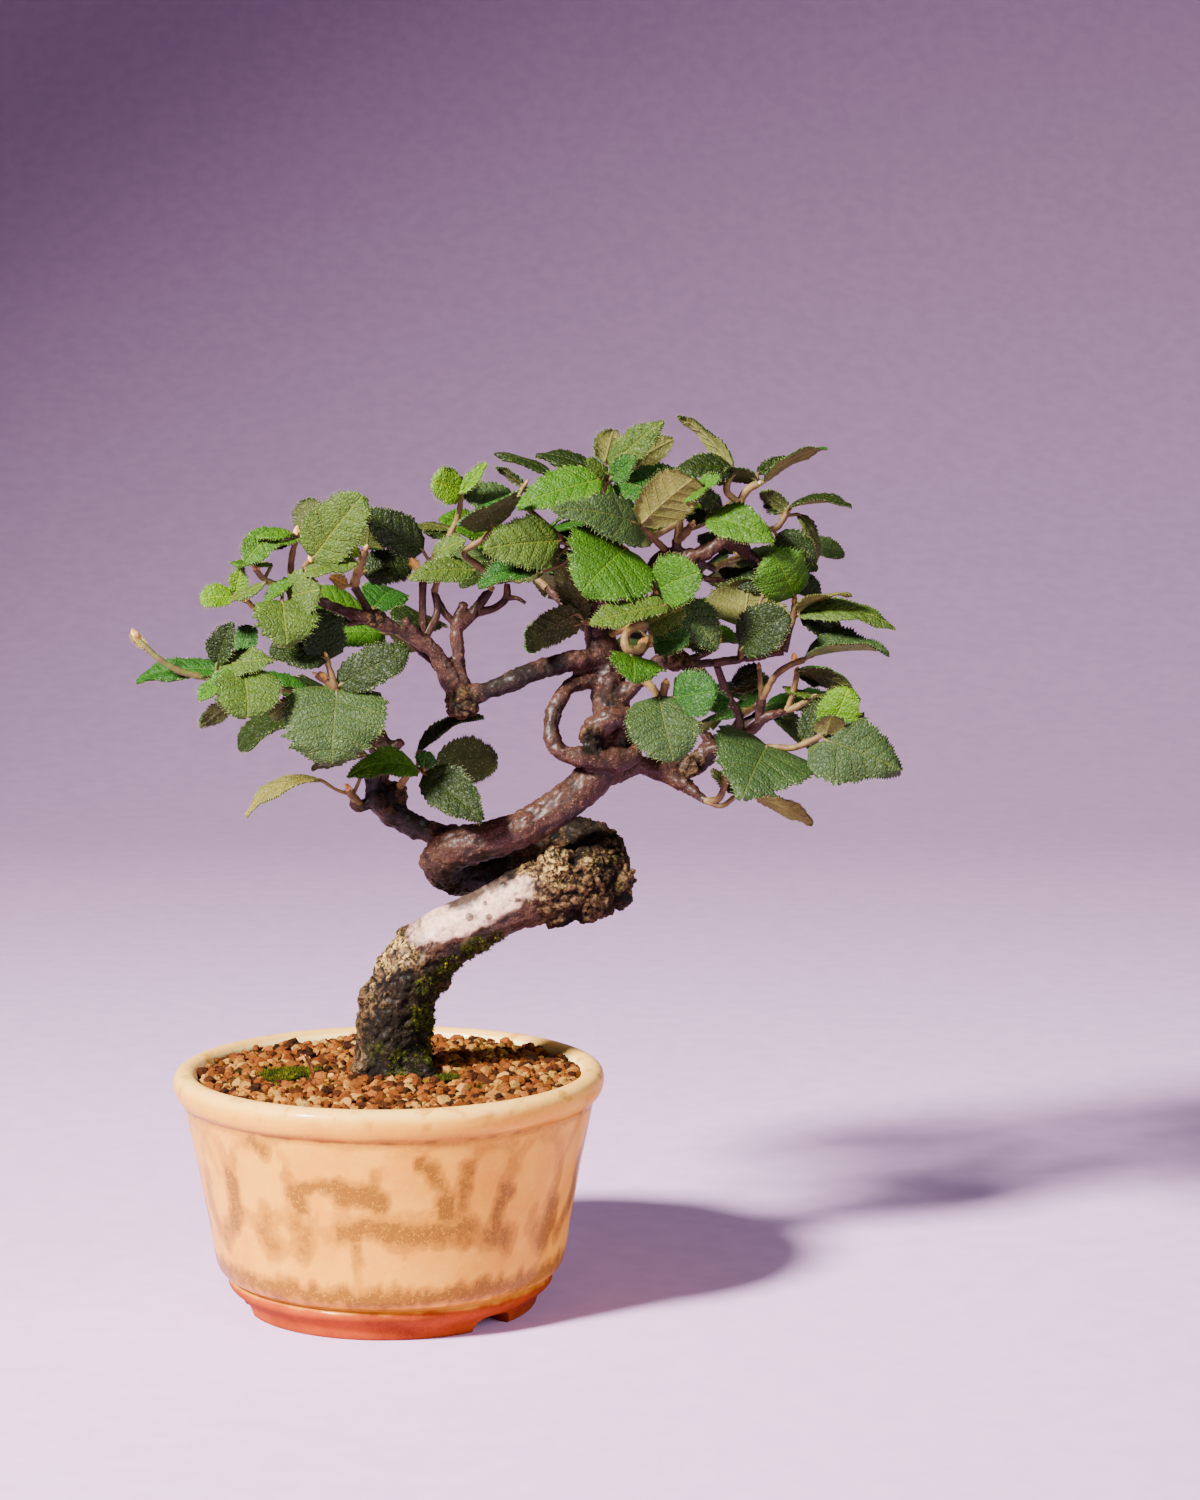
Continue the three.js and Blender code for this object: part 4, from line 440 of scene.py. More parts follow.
# Glaze runs on the front: half width, strength, then places as degrees round to the right and height
GLAZE_RUNS = (
    (2.6, 0.75, -38, 56.5, -33, 54), (1.9, 0.3, -46, 50, -44, 54.5, -38, 57, -30, 56, -26, 51, -25, 47),
    (2.0, 0.3, -64, 47, -62, 53, -57, 56, -52, 52, -50, 46), (1.6, 0.22, 1, 49, 3, 55, 9, 55, 13, 51),
    (1.9, 0.3, 26, 50, 28, 55, 34, 56, 39, 54, 41, 48),
    (1.9, 0.3, 42, 52, 48, 56, 55, 55, 60, 50, 62, 44), (1.8, 0.28, 63, 46, 66, 52, 71, 56),
    (1.9, 0.5, -46, 50, -48, 44), (3.3, 0.9, -49, 43, -49, 36, -51, 31),
    (3.0, 0.65, -51, 31, -56, 28, -59, 25), (3.0, 0.55, -65, 42, -67, 34, -63, 27),
    (4.2, 0.66, -36, 34, -38, 31, -35, 27), (3.8, 0.66, -25, 34, -23, 31, -24, 27.5),
    (2.6, 0.35, -43, 33, -30, 36, -20, 35), (1.8, 0.6, -26, 48, -25, 46),
    (2.6, 0.9, -24, 42.5, -22.5, 38.5), (1.9, 0.8, -25, 43.5, -19, 45, -13, 45.5, -9, 44),
    (3.0, 0.9, -10, 43, -3, 43, 0, 41), (1.7, 0.65, -1, 50, -1, 45), (2.2, 0.85, 12, 52, 15, 49.5),
    (1.8, 0.7, 15, 49, 18, 45.5, 19.5, 42), (2.7, 0.9, 19, 41, 20, 38),
    (2.0, 0.75, 25.5, 50, 25, 45, 24, 40), (2.8, 0.6, 22, 38, 24, 34), (1.6, 0.45, 40, 50, 39, 46),
    (2.0, 0.8, 37, 43.5, 40, 40.5), (2.5, 0.85, 37.5, 39, 36.5, 34, 36, 31),
    (3.8, 0.75, 35, 30, 41, 27.5), (1.7, 0.55, 62, 47, 62, 41, 61.5, 36),
    (3.9, 0.85, 60, 34, 61, 29, 59, 25), (3.0, 0.6, 53, 29, 55, 25), (2.2, 0.4, 52, 34, 50, 29),
    (3.0, 0.8, -11, 33, -4, 34, 4, 32.5, 12, 32, 19, 32, 27, 33),
    (2.4, 0.3, -12, 36.5, 0, 37, 12, 36.5, 26, 37), (2.2, 0.5, 4, 29.5, 8, 28),
    (2.2, 0.65, 13, 30, 22, 29.5, 28, 30), (2.2, 0.35, -19, 33, -13, 31), (1.8, 0.62, -7, 28, -6.5, 24.5),
    (1.2, 0.3, -6, 24, -7, 18),
)


# ---------------------------------------------------------------------------------------------------------
# Places, paths and colours


def srgb(code):
    """A hexadecimal colour as linear red, green, blue and one."""
    parts = [(code >> shift & 255) / 255 for shift in (16, 8, 0)]
    return tuple(p / 12.92 if p <= 0.04045 else ((p + 0.055) / 1.055) ** 2.4 for p in parts) + (1.0,)


def from_front(x, z, y):
    """A place read in the front view at (x, z), moved along its line of sight to depth y, in metres."""
    front = np.array([x, 0.0, z]) / 1000
    return EYE + (front - EYE) * (1 + y / EYE_DISTANCE) + AXIS


def front_place(points):
    """The front view's x and z of many points, in millimetres."""
    seen = points - AXIS - EYE
    flat = EYE + seen * (-EYE[1] / seen[:, 1])[:, None]
    return flat[:, 0] * 1000, flat[:, 2] * 1000


def along_front(rows):
    """Rows (x, z, y, radius) of the front view as places and radii in metres."""
    return np.array([[*from_front(x, z, y), radius / 1000] for x, z, y, radius in rows])


def unit(vector):
    return vector / np.linalg.norm(vector)


def square_to(vector, axis):
    """The part of a vector that is square to a unit axis, as a unit vector."""
    return unit(vector - axis * vector.dot(axis))


def smooth_path(rows, step):
    """A smooth line through rows of place and radius, sampled about a step apart."""
    ends = np.vstack([2 * rows[0] - rows[1], rows, 2 * rows[-1] - rows[-2]])
    path = []
    for i in range(1, len(rows)):
        a, b, c, d = ends[i - 1 : i + 3]
        ab, bc, cd = (math.sqrt(np.linalg.norm(q[:3] - p[:3])) for p, q in ((a, b), (b, c), (c, d)))
        leave = bc * ((b - a) / ab - (c - a) / (ab + bc)) + c - b
        enter = bc * ((d - c) / cd - (d - b) / (bc + cd)) + c - b
        count = max(2, round(np.linalg.norm(c[:3] - b[:3]) / step))
        for t in np.linspace(0, 1, count, endpoint=False):
            s = 1 - t
            path.append((1 + 2 * t) * s * s * b + t * s * s * leave + t * t * (3 - 2 * t) * c
                        - t * t * s * enter)
    path.append(rows[-1])
    return np.array(path)


def ease(low, high, value):
    """0 below low, 1 above high, smooth between."""
    t = np.clip((value - low) / (high - low), 0, 1)
    return t * t * (3 - 2 * t)


# ---------------------------------------------------------------------------------------------------------
# Modelling


def deselect():
    bpy.ops.object.select_all(action="DESELECT")


def pick(*objects):
    """Select objects alone, the first one active."""
    deselect()
    for obj in objects:
        obj.select_set(True)
    bpy.context.view_layer.objects.active = objects[0]


@contextmanager
def editing(action="SELECT", kind=None):
    """Edit mode on the active object, with all or nothing selected at first, or the selection kept."""
    bpy.ops.object.mode_set(mode="EDIT")
    if action:
        bpy.ops.mesh.select_all(action=action)
    if kind:
        bpy.ops.mesh.select_mode(type=kind)
    yield
    bpy.ops.object.mode_set(mode="OBJECT")


def coordinates(obj):
    points = np.empty(len(obj.data.vertices) * 3)
    obj.data.vertices.foreach_get("co", points)
    return points.reshape(-1, 3)


def place_points(obj, points):
    obj.data.vertices.foreach_set("co", np.asarray(points, dtype=float).ravel())
    obj.data.update()


def normals_of(obj):
    normals = np.empty(len(obj.data.vertices) * 3)
    obj.data.vertex_normals.foreach_get("vector", normals)
    return normals.reshape(-1, 3)


def write(obj, name, kind, values):
    """Keep values of each vertex as an attribute that materials can read."""
    field = {"FLOAT": "value", "FLOAT_VECTOR": "vector", "FLOAT_COLOR": "color"}[kind]
    attribute = obj.data.attributes.new(name, kind, "POINT")
    attribute.data.foreach_set(field, np.asarray(values, dtype=float).ravel())


def apply_modifiers(obj):
    pick(obj)
    for modifier in list(obj.modifiers):
        bpy.ops.object.modifier_apply(modifier=modifier.name)


def join(name, *objects):
    pick(*objects)
    if len(objects) > 1:
        bpy.ops.object.join()
    joined = bpy.context.view_layer.objects.active
    joined.name = joined.data.name = name
    return joined


def add_material(obj, *materials):
    obj.data.materials.clear()
    for material in materials:
        obj.data.materials.append(material)


def smooth(obj, degrees=None):
    pick(obj)
    if degrees is None:
        bpy.ops.object.shade_smooth()
    else:
        bpy.ops.object.shade_smooth_by_angle(angle=math.radians(degrees))


def tubes(name, paths, rings):
    """Closed tubes along paths of place and radius, as one mesh."""
    deselect()
    bpy.ops.curve.primitive_bezier_curve_add()
    obj = bpy.context.object
    curve = obj.data
    curve.splines.clear()
    curve.dimensions = "3D"
    curve.twist_mode = "MINIMUM"
    curve.bevel_depth = 1.0
    curve.bevel_resolution = rings
    curve.use_fill_caps = True
    for path in paths:
        spline = curve.splines.new("POLY")
        spline.points.add(len(path) - 1)
        places = np.hstack([path[:, :3], np.ones((len(path), 1))])
        spline.points.foreach_set("co", places.ravel())
        spline.points.foreach_set("radius", path[:, 3])
    bpy.ops.object.convert(target="MESH")
    obj.name = obj.data.name = name
    return obj


def scatter(name, blank, frames):
    """Copies of a blank in one mesh of their own, one for each 4 by 4 frame. The blank is used up."""
    mesh = blank.data
    points = coordinates(blank)
    corners = np.empty(len(mesh.loops), dtype=int)
    mesh.loops.foreach_get("vertex_index", corners)
    starts = np.empty(len(mesh.polygons), dtype=int)
    mesh.polygons.foreach_get("loop_start", starts)
    frames = np.asarray(frames, dtype=float)
    count = len(frames)
    spread = np.einsum("nij,pj->npi", frames[:, :3, :3], points) + frames[:, None, :3, 3]
    steps = np.arange(count)[:, None]
    made = bpy.data.meshes.new(name)
    made.vertices.add(count * len(points))
    made.vertices.foreach_set("co", spread.ravel())
    made.loops.add(count * len(corners))
    made.loops.foreach_set("vertex_index", (corners + steps * len(points)).ravel())
    made.polygons.add(count * len(starts))
    made.polygons.foreach_set("loop_start", (starts + steps * len(corners)).ravel())
    made.update(calc_edges=True)
    obj = bpy.data.objects.new(name, made)
    bpy.context.collection.objects.link(obj)
    bpy.data.objects.remove(blank)
    return obj


def frame_along(place, axis, across, sizes):
    """A frame at a place with its z along an axis and its x towards across, scaled by sizes."""
    z = unit(np.asarray(axis, dtype=float))
    x = square_to(np.asarray(across, dtype=float), z)
    made = np.eye(4)
    made[:3, 0] = x * sizes[0]
    made[:3, 1] = np.cross(z, x) * sizes[1]
    made[:3, 2] = z * sizes[2]
    made[:3, 3] = place
    return made


def random_unit(dice):
    while True:
        vector = np.array([dice.uniform(-1, 1) for _ in range(3)])
        if 0.1 < np.linalg.norm(vector) < 1:
            return unit(vector)


def as_piece(obj, slot, *nodes):
    """Let a finished piece ride on the tree's one body and stand for its solids."""
    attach(obj, "root")
    if nodes:
        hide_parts(*nodes)


# ---------------------------------------------------------------------------------------------------------
# Materials


class Strand:
    """An output of a shader node. Python's arithmetic on strands adds Math nodes."""

    def __init__(self, finish, output):
        self.finish = finish
        self.output = output

    def maths(self, operation, *values):
        return self.finish.node("ShaderNodeMath", {"operation": operation}, dict(enumerate(values)))

    def __add__(self, other):
        return self.maths("ADD", self, other)

    def __radd__(self, other):
        return self.maths("ADD", other, self)

    def __sub__(self, other):
        return self.maths("SUBTRACT", self, other)

    def __rsub__(self, other):
        return self.maths("SUBTRACT", other, self)

    def __mul__(self, other):
        return self.maths("MULTIPLY", self, other)

    def __rmul__(self, other):
        return self.maths("MULTIPLY", other, self)

    def __abs__(self):
        return self.maths("ABSOLUTE", self)

    def ease(self, low, high):
        """0 at low, 1 at high, smooth between."""
        sockets = {"Value": self, "From Min": low, "From Max": high}
        return self.finish.node("ShaderNodeMapRange", {"interpolation_type": "SMOOTHSTEP"}, sockets)


class Finish:
    """A material of one Principled shader, whose nodes are added in Python."""

    def __init__(self, name, **constants):
        self.material = bpy.data.materials.new(name)
        self.material.use_nodes = True
        self.tree = self.material.node_tree
        self.shader = self.tree.nodes["Principled BSDF"]
        for socket, value in constants.items():
            self.shader.inputs[socket.replace("_", " ")].default_value = value

    def node(self, kind, settings=None, sockets=None, output=0):
        """Add a node of a kind with its settings, and with a number or strand at each named socket."""
        made = self.tree.nodes.new(kind)
        for name, value in (settings or {}).items():
            setattr(made, name, value)
        for name, value in (sockets or {}).items():
            if isinstance(value, Strand):
                self.tree.links.new(value.output, made.inputs[name])
            else:
                made.inputs[name].default_value = value
        return Strand(self, made.outputs[output])

    def where(self):
        return self.node("ShaderNodeTexCoord", output="Object")

    def attribute(self, name, output="Vector"):
        return self.node("ShaderNodeAttribute", {"attribute_name": name}, output=output)

    def parts(self, vector):
        split = self.node("ShaderNodeSeparateXYZ", sockets={0: vector})
        node = split.output.node
        return [Strand(self, node.outputs[i]) for i in range(3)]

    def noise(self, size, detail=3.0, roughness=0.5):
        """Soft noise whose blotches are about a size across, in metres."""
        sockets = {"Vector": self.where(), "Scale": 1 / size, "Detail": detail, "Roughness": roughness}
        return self.node("ShaderNodeTexNoise", sockets=sockets)

    def cells(self, size, feature="F1"):
        """Cells about a size across, in metres."""
        sockets = {"Vector": self.where(), "Scale": 1 / size}
        return self.node("ShaderNodeTexVoronoi", {"feature": feature}, sockets, "Distance")

    def mix(self, factor, first, second, blend="MIX"):
        """The first colour at factor 0 and the second at 1."""
        settings = {"data_type": "RGBA", "blend_type": blend}
        return self.node("ShaderNodeMix", settings, {0: factor, 6: first, 7: second}, output=2)

    def shade(self, tone, *factors):
        """A tone times its own factor of red, green and blue."""
        return self.mix(1.0, tone, (*factors, 1), "MULTIPLY")

    def bump(self, height, distance, strength=1.0):
        """A bump whose height of 1 stands a distance high."""
        sockets = {"Height": height, "Distance": distance, "Strength": strength}
        return self.node("ShaderNodeBump", sockets=sockets)

    def lead(self, **strands):
        """Lead strands into the shader's sockets, and give the material."""
        for socket, strand in strands.items():
            self.tree.links.new(strand.output, self.shader.inputs[socket.replace("_", " ")])
        return self.material


# ---------------------------------------------------------------------------------------------------------
# Sizes and colours that a user may change


class BonsaiWood(bpy.types.PropertyGroup):
    bark_depth: bpy.props.FloatProperty(
        name="Bark depth", description="How deep the roughest bark is broken", default=0.0012,
        unit="LENGTH", subtype="DISTANCE")
    grid: bpy.props.FloatProperty(
        name="Grid", description="Size of the wood's faces", default=0.00062,
        unit="LENGTH", subtype="DISTANCE")
    bark: bpy.props.FloatVectorProperty(
        name="Bark", description="Colour of the upper bark", size=4, subtype="COLOR",
        default=srgb(0x341A0E))
    pale: bpy.props.FloatVectorProperty(
        name="Bare bark", description="Colour of smooth bark in the light", size=4, subtype="COLOR",
        default=srgb(0xD2A892))
    # Colour deep in the bark: partly the crevices' own dark colour, partly painted shade in them
    crevice_and_shade: bpy.props.FloatVectorProperty(
        name="Crevices", description="Colour deep in the bark", size=4, subtype="COLOR",
        default=srgb(0x0E0805))
    lichen: bpy.props.FloatVectorProperty(
        name="Lichen", description="Colour of the pale crust on old bark", size=4, subtype="COLOR",
        default=srgb(0x644A30))


class BonsaiLeaves(bpy.types.PropertyGroup):
    thickness: bpy.props.FloatProperty(
        name="Blade thickness", description="Thickness of a leaf's blade", default=0.0004,
        unit="LENGTH", subtype="DISTANCE")
    quilting: bpy.props.FloatProperty(
        name="Quilting", description="How far a blade bulges between its veins, as a share of its length",
        default=0.012, min=0, max=0.05)
    hair: bpy.props.FloatProperty(
        name="Hair length", description="Length of the hairs on margins and stems", default=0.0008,
        unit="LENGTH", subtype="DISTANCE")
    stem: bpy.props.FloatVectorProperty(
        name="Stem", description="Colour of the young stems and petioles", size=4, subtype="COLOR",
        default=srgb(0x66501C))
    down: bpy.props.FloatVectorProperty(
        name="Down", description="Colour of the hairs", size=4, subtype="COLOR", default=srgb(0xA4A060))


class BonsaiPot(bpy.types.PropertyGroup):
    glaze: bpy.props.FloatVectorProperty(
        name="Glaze", description="Colour of the plain glaze", size=4, subtype="COLOR",
        default=srgb(0xD89618))
    amber: bpy.props.FloatVectorProperty(
        name="Runs", description="Colour of the glaze's amber runs", size=4, subtype="COLOR",
        default=srgb(0x784A00))
    clay: bpy.props.FloatVectorProperty(
        name="Clay", description="Colour of the bare fired foot", size=4, subtype="COLOR",
        default=srgb(0x9A3A0A))


class BonsaiSoil(bpy.types.PropertyGroup):
    spacing: bpy.props.FloatProperty(
        name="Granule spacing", description="Distance between neighbouring granules", default=0.0025,
        unit="LENGTH", subtype="DISTANCE")
    # The bed's dark colour stands partly for the soil below, partly for painted shade in the gaps between
    # granules
    bed: bpy.props.FloatVectorProperty(
        name="Bed", description="Colour of the soil under the granules", size=4, subtype="COLOR",
        default=srgb(0x2A1408))
    moss: bpy.props.FloatVectorProperty(
        name="Moss bed", description="Colour of the moss under its tufts", size=4, subtype="COLOR",
        default=srgb(0x1E2606))


class BonsaiStage(bpy.types.PropertyGroup):
    backdrop: bpy.props.FloatVectorProperty(
        name="Backdrop", description="Colour of the floor and the sheet behind", size=4, subtype="COLOR",
        default=srgb(0xD6ACDA))
    key: bpy.props.FloatProperty(
        name="Key light", description="Power of the light at the left", default=30.0, unit="POWER")
    fill: bpy.props.FloatProperty(
        name="Fill light", description="Power of the light at the right", default=5.0, unit="POWER")
    room: bpy.props.FloatProperty(
        name="Room light", description="Strength of the light from all round", default=0.07, min=0)


# ---------------------------------------------------------------------------------------------------------
# Wood


def bark_material(sizes):
    finish = Finish("bark", Specular_IOR_Level=0.1, Coat_Roughness=0.4)
    rough, moss, bare = finish.parts(finish.attribute("bark_zones"))
    lenticels, height, painted_shade = finish.parts(finish.attribute("bark_marks"))
    grain = finish.noise(0.0012, detail=5, roughness=0.7)
    fine = finish.noise(0.0005, detail=3, roughness=0.7)
    blotch = finish.noise(0.006, detail=3, roughness=0.6)
    crust = finish.cells(0.0013)
    cracks = finish.cells(0.0022, "DISTANCE_TO_EDGE")

    warm = finish.mix(blotch.ease(0.38, 0.62), sizes.bark, srgb(0x3C241A))
    warm = finish.mix(grain.ease(0.5, 0.68) * 0.75, warm, srgb(0x1A0E08))
    warm = finish.mix(fine.ease(0.55, 0.68) * grain.ease(0.4, 0.6) * 0.6, warm, srgb(0xA87C68))
    crusted = finish.mix(grain.ease(0.4, 0.62), srgb(0x241608), sizes.lichen)
    crusted = finish.mix(blotch.ease(0.44, 0.64) * 0.7, crusted, srgb(0x0C0703))
    crusted = finish.mix(fine.ease(0.58, 0.72) * 0.6, crusted, srgb(0x9A7A4C))
    colour = finish.mix(rough.ease(0.45, 0.85), warm, crusted)
    # Painted highlight: light tan flecks where the bark faces the key light
    tan = grain.ease(0.44, 0.6) * blotch.ease(0.42, 0.58) * finish.attribute("lit_bark", "Fac")
    colour = finish.mix(tan, colour, srgb(0xD8B068))
    # Bare bark, pale on its lit side: partly the smooth bark's own colour, partly painted highlight
    bare_and_lit = (bare + (grain - 0.5) * 0.9 * bare.ease(0, 0.4)).ease(0.25, 0.75)
    pale = finish.mix(grain.ease(0.46, 0.66) * 0.6, sizes.pale, srgb(0x7A5648))
    colour = finish.mix(bare_and_lit * 0.9, colour, pale)
    colour = finish.mix(lenticels.ease(0.4, 0.8) * 0.8, colour, srgb(0x32140A))
    # Painted shade: the bark darkened at its shaded places, broken up by blotches and light flecks
    shaded = (painted_shade + (blotch - 0.5) * 0.8 * painted_shade.ease(0, 0.3)) * (1 - fine.ease(0.58, 0.72) * 0.5)
    colour = finish.mix(shaded.ease(0.1, 0.8) * 0.9, colour, srgb(0x0A0603))
    green = finish.mix(grain.ease(0.4, 0.62), srgb(0x0C1002), srgb(0x464A06))
    colour = finish.mix((moss * blotch.ease(0.35, 0.6)).ease(0.1, 0.7) * 0.9, colour, green)
    # Darker deep in the crevices: partly the bark's own colour there, partly painted shade
    depth = (1 - height.ease(0.15, 0.6)) * (0.3 + 0.7 * rough)
    colour = finish.mix(depth.ease(0.0, 0.8), colour, sizes.crevice_and_shade)

    plates = crust * 0.6 * (0.25 + rough) + cracks.ease(0.0, 0.25) * 0.35 * (0.2 + rough)
    relief = plates + grain * 0.9 + fine * 0.3
    normal = finish.bump(relief, 0.0005, 0.9)
    shine = 0.85 - bare * 0.4 - (1 - rough) * 0.15 + grain * 0.1
    return finish.lead(Base_Color=colour, Normal=normal, Roughness=shine, Coat_Weight=(1 - rough) * 0.4)


# How broken the bark is along the trunk, by the row's number, and the same for branches and knobs
TRUNK_ROUGH = (
    0.85, 0.9, 0.85, 0.9, 0.9, 0.8, 0.5, 0.3, 0.55, 0.95, 1.0, 1.0, 0.9, 0.7, 0.6, 0.6, 0.6, 0.45, 0.3,
    0.3, 0.3, 0.35, 0.5, 0.5, 0.45, 0.4, 0.45, 0.5, 0.5,
)
# Branches thicker than this at their root are remeshed with the trunk, in mm
THICK_BRANCH = 1.5
# Painted zones of the front view as x, z, radius and strength
# Smooth bare bark, made pale only where it faces the light: partly its own pale colour, partly painted
# highlight
BARE_AND_LIT_BARK = (
    (9, 105, 4.5, 0.55), (14, 107.5, 5.5, 0.95), (20, 109.5, 6, 1), (26, 112.5, 6, 0.95),
    (32, 115, 5.5, 0.85), (37, 117.5, 4, 0.6), (46, 141, 3, 0.2), (57.5, 184, 3, 0.3),
    (30, 174.5, 3, 0.2), (52, 181, 3, 0.3), (56, 152, 4, 0.2),
)
MOSSY_BARK = (
    (11, 72, 5, 0.75), (10, 80, 5, 0.6), (12, 89, 5, 0.7), (17, 95, 4, 0.7), (24, 100, 4, 0.75),
    (-4, 71, 4, 0.4), (4, 67, 5, 0.8), (-3, 93, 3, 0.35), (8, 84, 4, 0.5), (12, 110, 3.5, 0.7),
    (30, 103, 3, 0.5), (-9, 140, 3, 0.3), (60, 126, 4, 0.35), (66, 117, 4, 0.35), (-2, 103, 4, 0.5),
    (5, 106, 3, 0.5),
)
# Painted shade: places where the bark is darkened for the shade that falls on it, as x, z, radius and
# strength
PAINTED_SHADE_BARK = (
    (4, 68, 11, 1), (1, 76, 9, 0.95), (7, 82, 9, 0.95), (4, 90, 5, 0.85), (-5, 82, 5, 0.5),
    (14, 94, 5, 0.8), (20, 98, 4, 0.8), (28, 103, 4, 0.6), (50, 108, 5, 0.6), (20, 118, 7, 1),
    (30, 122, 6, 0.8), (12, 122, 3, 0.5), (-5, 88, 3, 0.4), (54, 133, 7, 0.75), (64, 112, 4, 0.5),
    (57, 158, 3.5, 1), (62, 172, 4, 0.5), (5, 136, 7, 0.7), (-4, 144, 6, 0.8), (60, 150, 4, 0.4),
    (20, 168, 3.5, 0.5), (66, 154, 4, 0.4), (88, 150, 8, 0.5), (30, 173.5, 5, 0.7), (38, 176, 5, 0.75),
    (47, 179, 5, 0.7), (59, 178, 5, 0.4), (48, 165, 5, 0.5),
)
# Painted highlight: light tan flecks on bark that faces the key light, as x, z, radius and strength
LIT_BARK_HIGHLIGHTS = (
    (-3, 98, 4.5, 0.9), (1, 94, 4, 0.7), (3, 100, 4, 0.8), (-6, 91, 3, 0.6), (0, 103, 4, 0.7),
    (6, 99, 3, 0.5), (-6, 84, 3, 0.5), (40, 120, 5, 0.6), (46, 124, 5, 0.7), (52, 124, 5, 0.5),
    (46, 116, 4, 0.4),
)
LENTICELS = (
    (22.5, 109.2, 1.3), (28, 109.2, 1.1), (27, 113.1, 0.8), (36, 114, 0.9), (32, 118.3, 0.9),
    (29, 116, 0.7), (24, 130.5, 0.8), (26.5, 128.3, 0.9), (48, 138.5, 0.8), (38, 133.5, 0.7),
    (15, 97, 1.2), (4, 86.5, 1.3), (41, 113.5, 0.8), (63, 113, 0.8), (50, 122, 0.9),
)


def strength_at(zones, x, z):
    """The strongest of some round zones at places of the front view."""
    strongest = np.zeros(len(x))
    for centre_x, centre_z, radius, strength in zones:
        distance = np.hypot(x - centre_x, z - centre_z) / radius
        strongest = np.maximum(strongest, strength * ease(1.35, 0.6, distance))
    return strongest


def nearest_trunk(points):
    """The trunk row nearest to each point, as a number with a fraction, and how far off it is in radii."""
    rows = along_front(TRUNK)
    best = np.full(len(points), np.inf)
    number = np.zeros(len(points))
    for i in range(len(rows) - 1):
        start, stretch = rows[i, :3], rows[i + 1, :3] - rows[i, :3]
        t = np.clip((points - start) @ stretch / stretch.dot(stretch), 0, 1)
        radius = rows[i, 3] + t * (rows[i + 1, 3] - rows[i, 3])
        distance = np.linalg.norm(points - start - t[:, None] * stretch, axis=1) / radius
        closer = distance < best
        best[closer] = distance[closer]
        number[closer] = (i + t)[closer]
    return number, best


def break_bark(obj, depth, thick):
    """Break the bark into plates, crevices and lumps, and keep what the material reads."""
    points = coordinates(obj)
    normals = normals_of(obj)
    x, z = front_place(points)
    number, distance = nearest_trunk(points)
    rough = np.interp(number, np.arange(len(TRUNK_ROUGH)), TRUNK_ROUGH)
    away = ease(1.15, 1.5, distance)
    rough = rough * (1 - away) + 0.32 * away
    old = [(row[0], row[1], row[3] * 1.25, 0.85) for row in KNOBS]
    rough = np.maximum(rough, strength_at(old, x, z) * (1 if thick else 0.5))
    moss = strength_at(MOSSY_BARK, x, z) * (points[:, 2] < 0.145)
    # The side that faces the key light at the front, left and top. The bare bark is pale only here, partly
    # as painted highlight, and the tan flecks here are painted highlight
    front = ease(-0.1, 0.35, -normals[:, 1] * 0.75 - normals[:, 0] * 0.35 + normals[:, 2] * 0.5)
    bare = strength_at(BARE_AND_LIT_BARK, x, z) * front
    lenticels = strength_at([(*row, 1) for row in LENTICELS], x, z) * (normals[:, 1] < 0.2)
    rough *= 1 - 0.75 * bare
    moss *= 1 - bare

    # How strongly painted shade darkens the bark here
    painted_shade = strength_at(PAINTED_SHADE_BARK, x, z)
    lift = np.zeros(len(points))
    height = np.ones(len(points))
    for i, (place, broken) in enumerate(zip(points, rough)):
        at = Vector(place)
        bent = at + 0.0018 * noise.noise_vector(at * 230)
        near, _ = noise.voronoi(bent * 240)
        small, _ = noise.voronoi(bent * 520)
        crack = 0.6 * min(1.0, (near[1] - near[0]) * 2.4) + 0.4 * min(1.0, (small[1] - small[0]) * 2.4)
        lump = noise.fractal(at * 170, 1.0, 2.1, 3)
        fine = noise.fractal(at * 700, 0.8, 2.2, 2)
        height[i] = 0.62 * crack + 0.25 * (lump + 0.6) + 0.12 * (fine + 0.5)
        lift[i] = broken * (1.3 * (crack - 0.7) + 0.45 * lump) + 0.22 * lump * (1 - broken) + 0.16 * fine
    lift += 0.3 * lenticels
    place_points(obj, points + normals * (lift * depth)[:, None])
    write(obj, "bark_zones", "FLOAT_VECTOR", np.stack([rough, moss, bare], axis=1))
    write(obj, "bark_marks", "FLOAT_VECTOR", np.stack([lenticels, height, painted_shade], axis=1))
    # Strength of the painted highlight on the side that faces the light
    write(obj, "lit_bark", "FLOAT", strength_at(LIT_BARK_HIGHLIGHTS, x, z) * front)


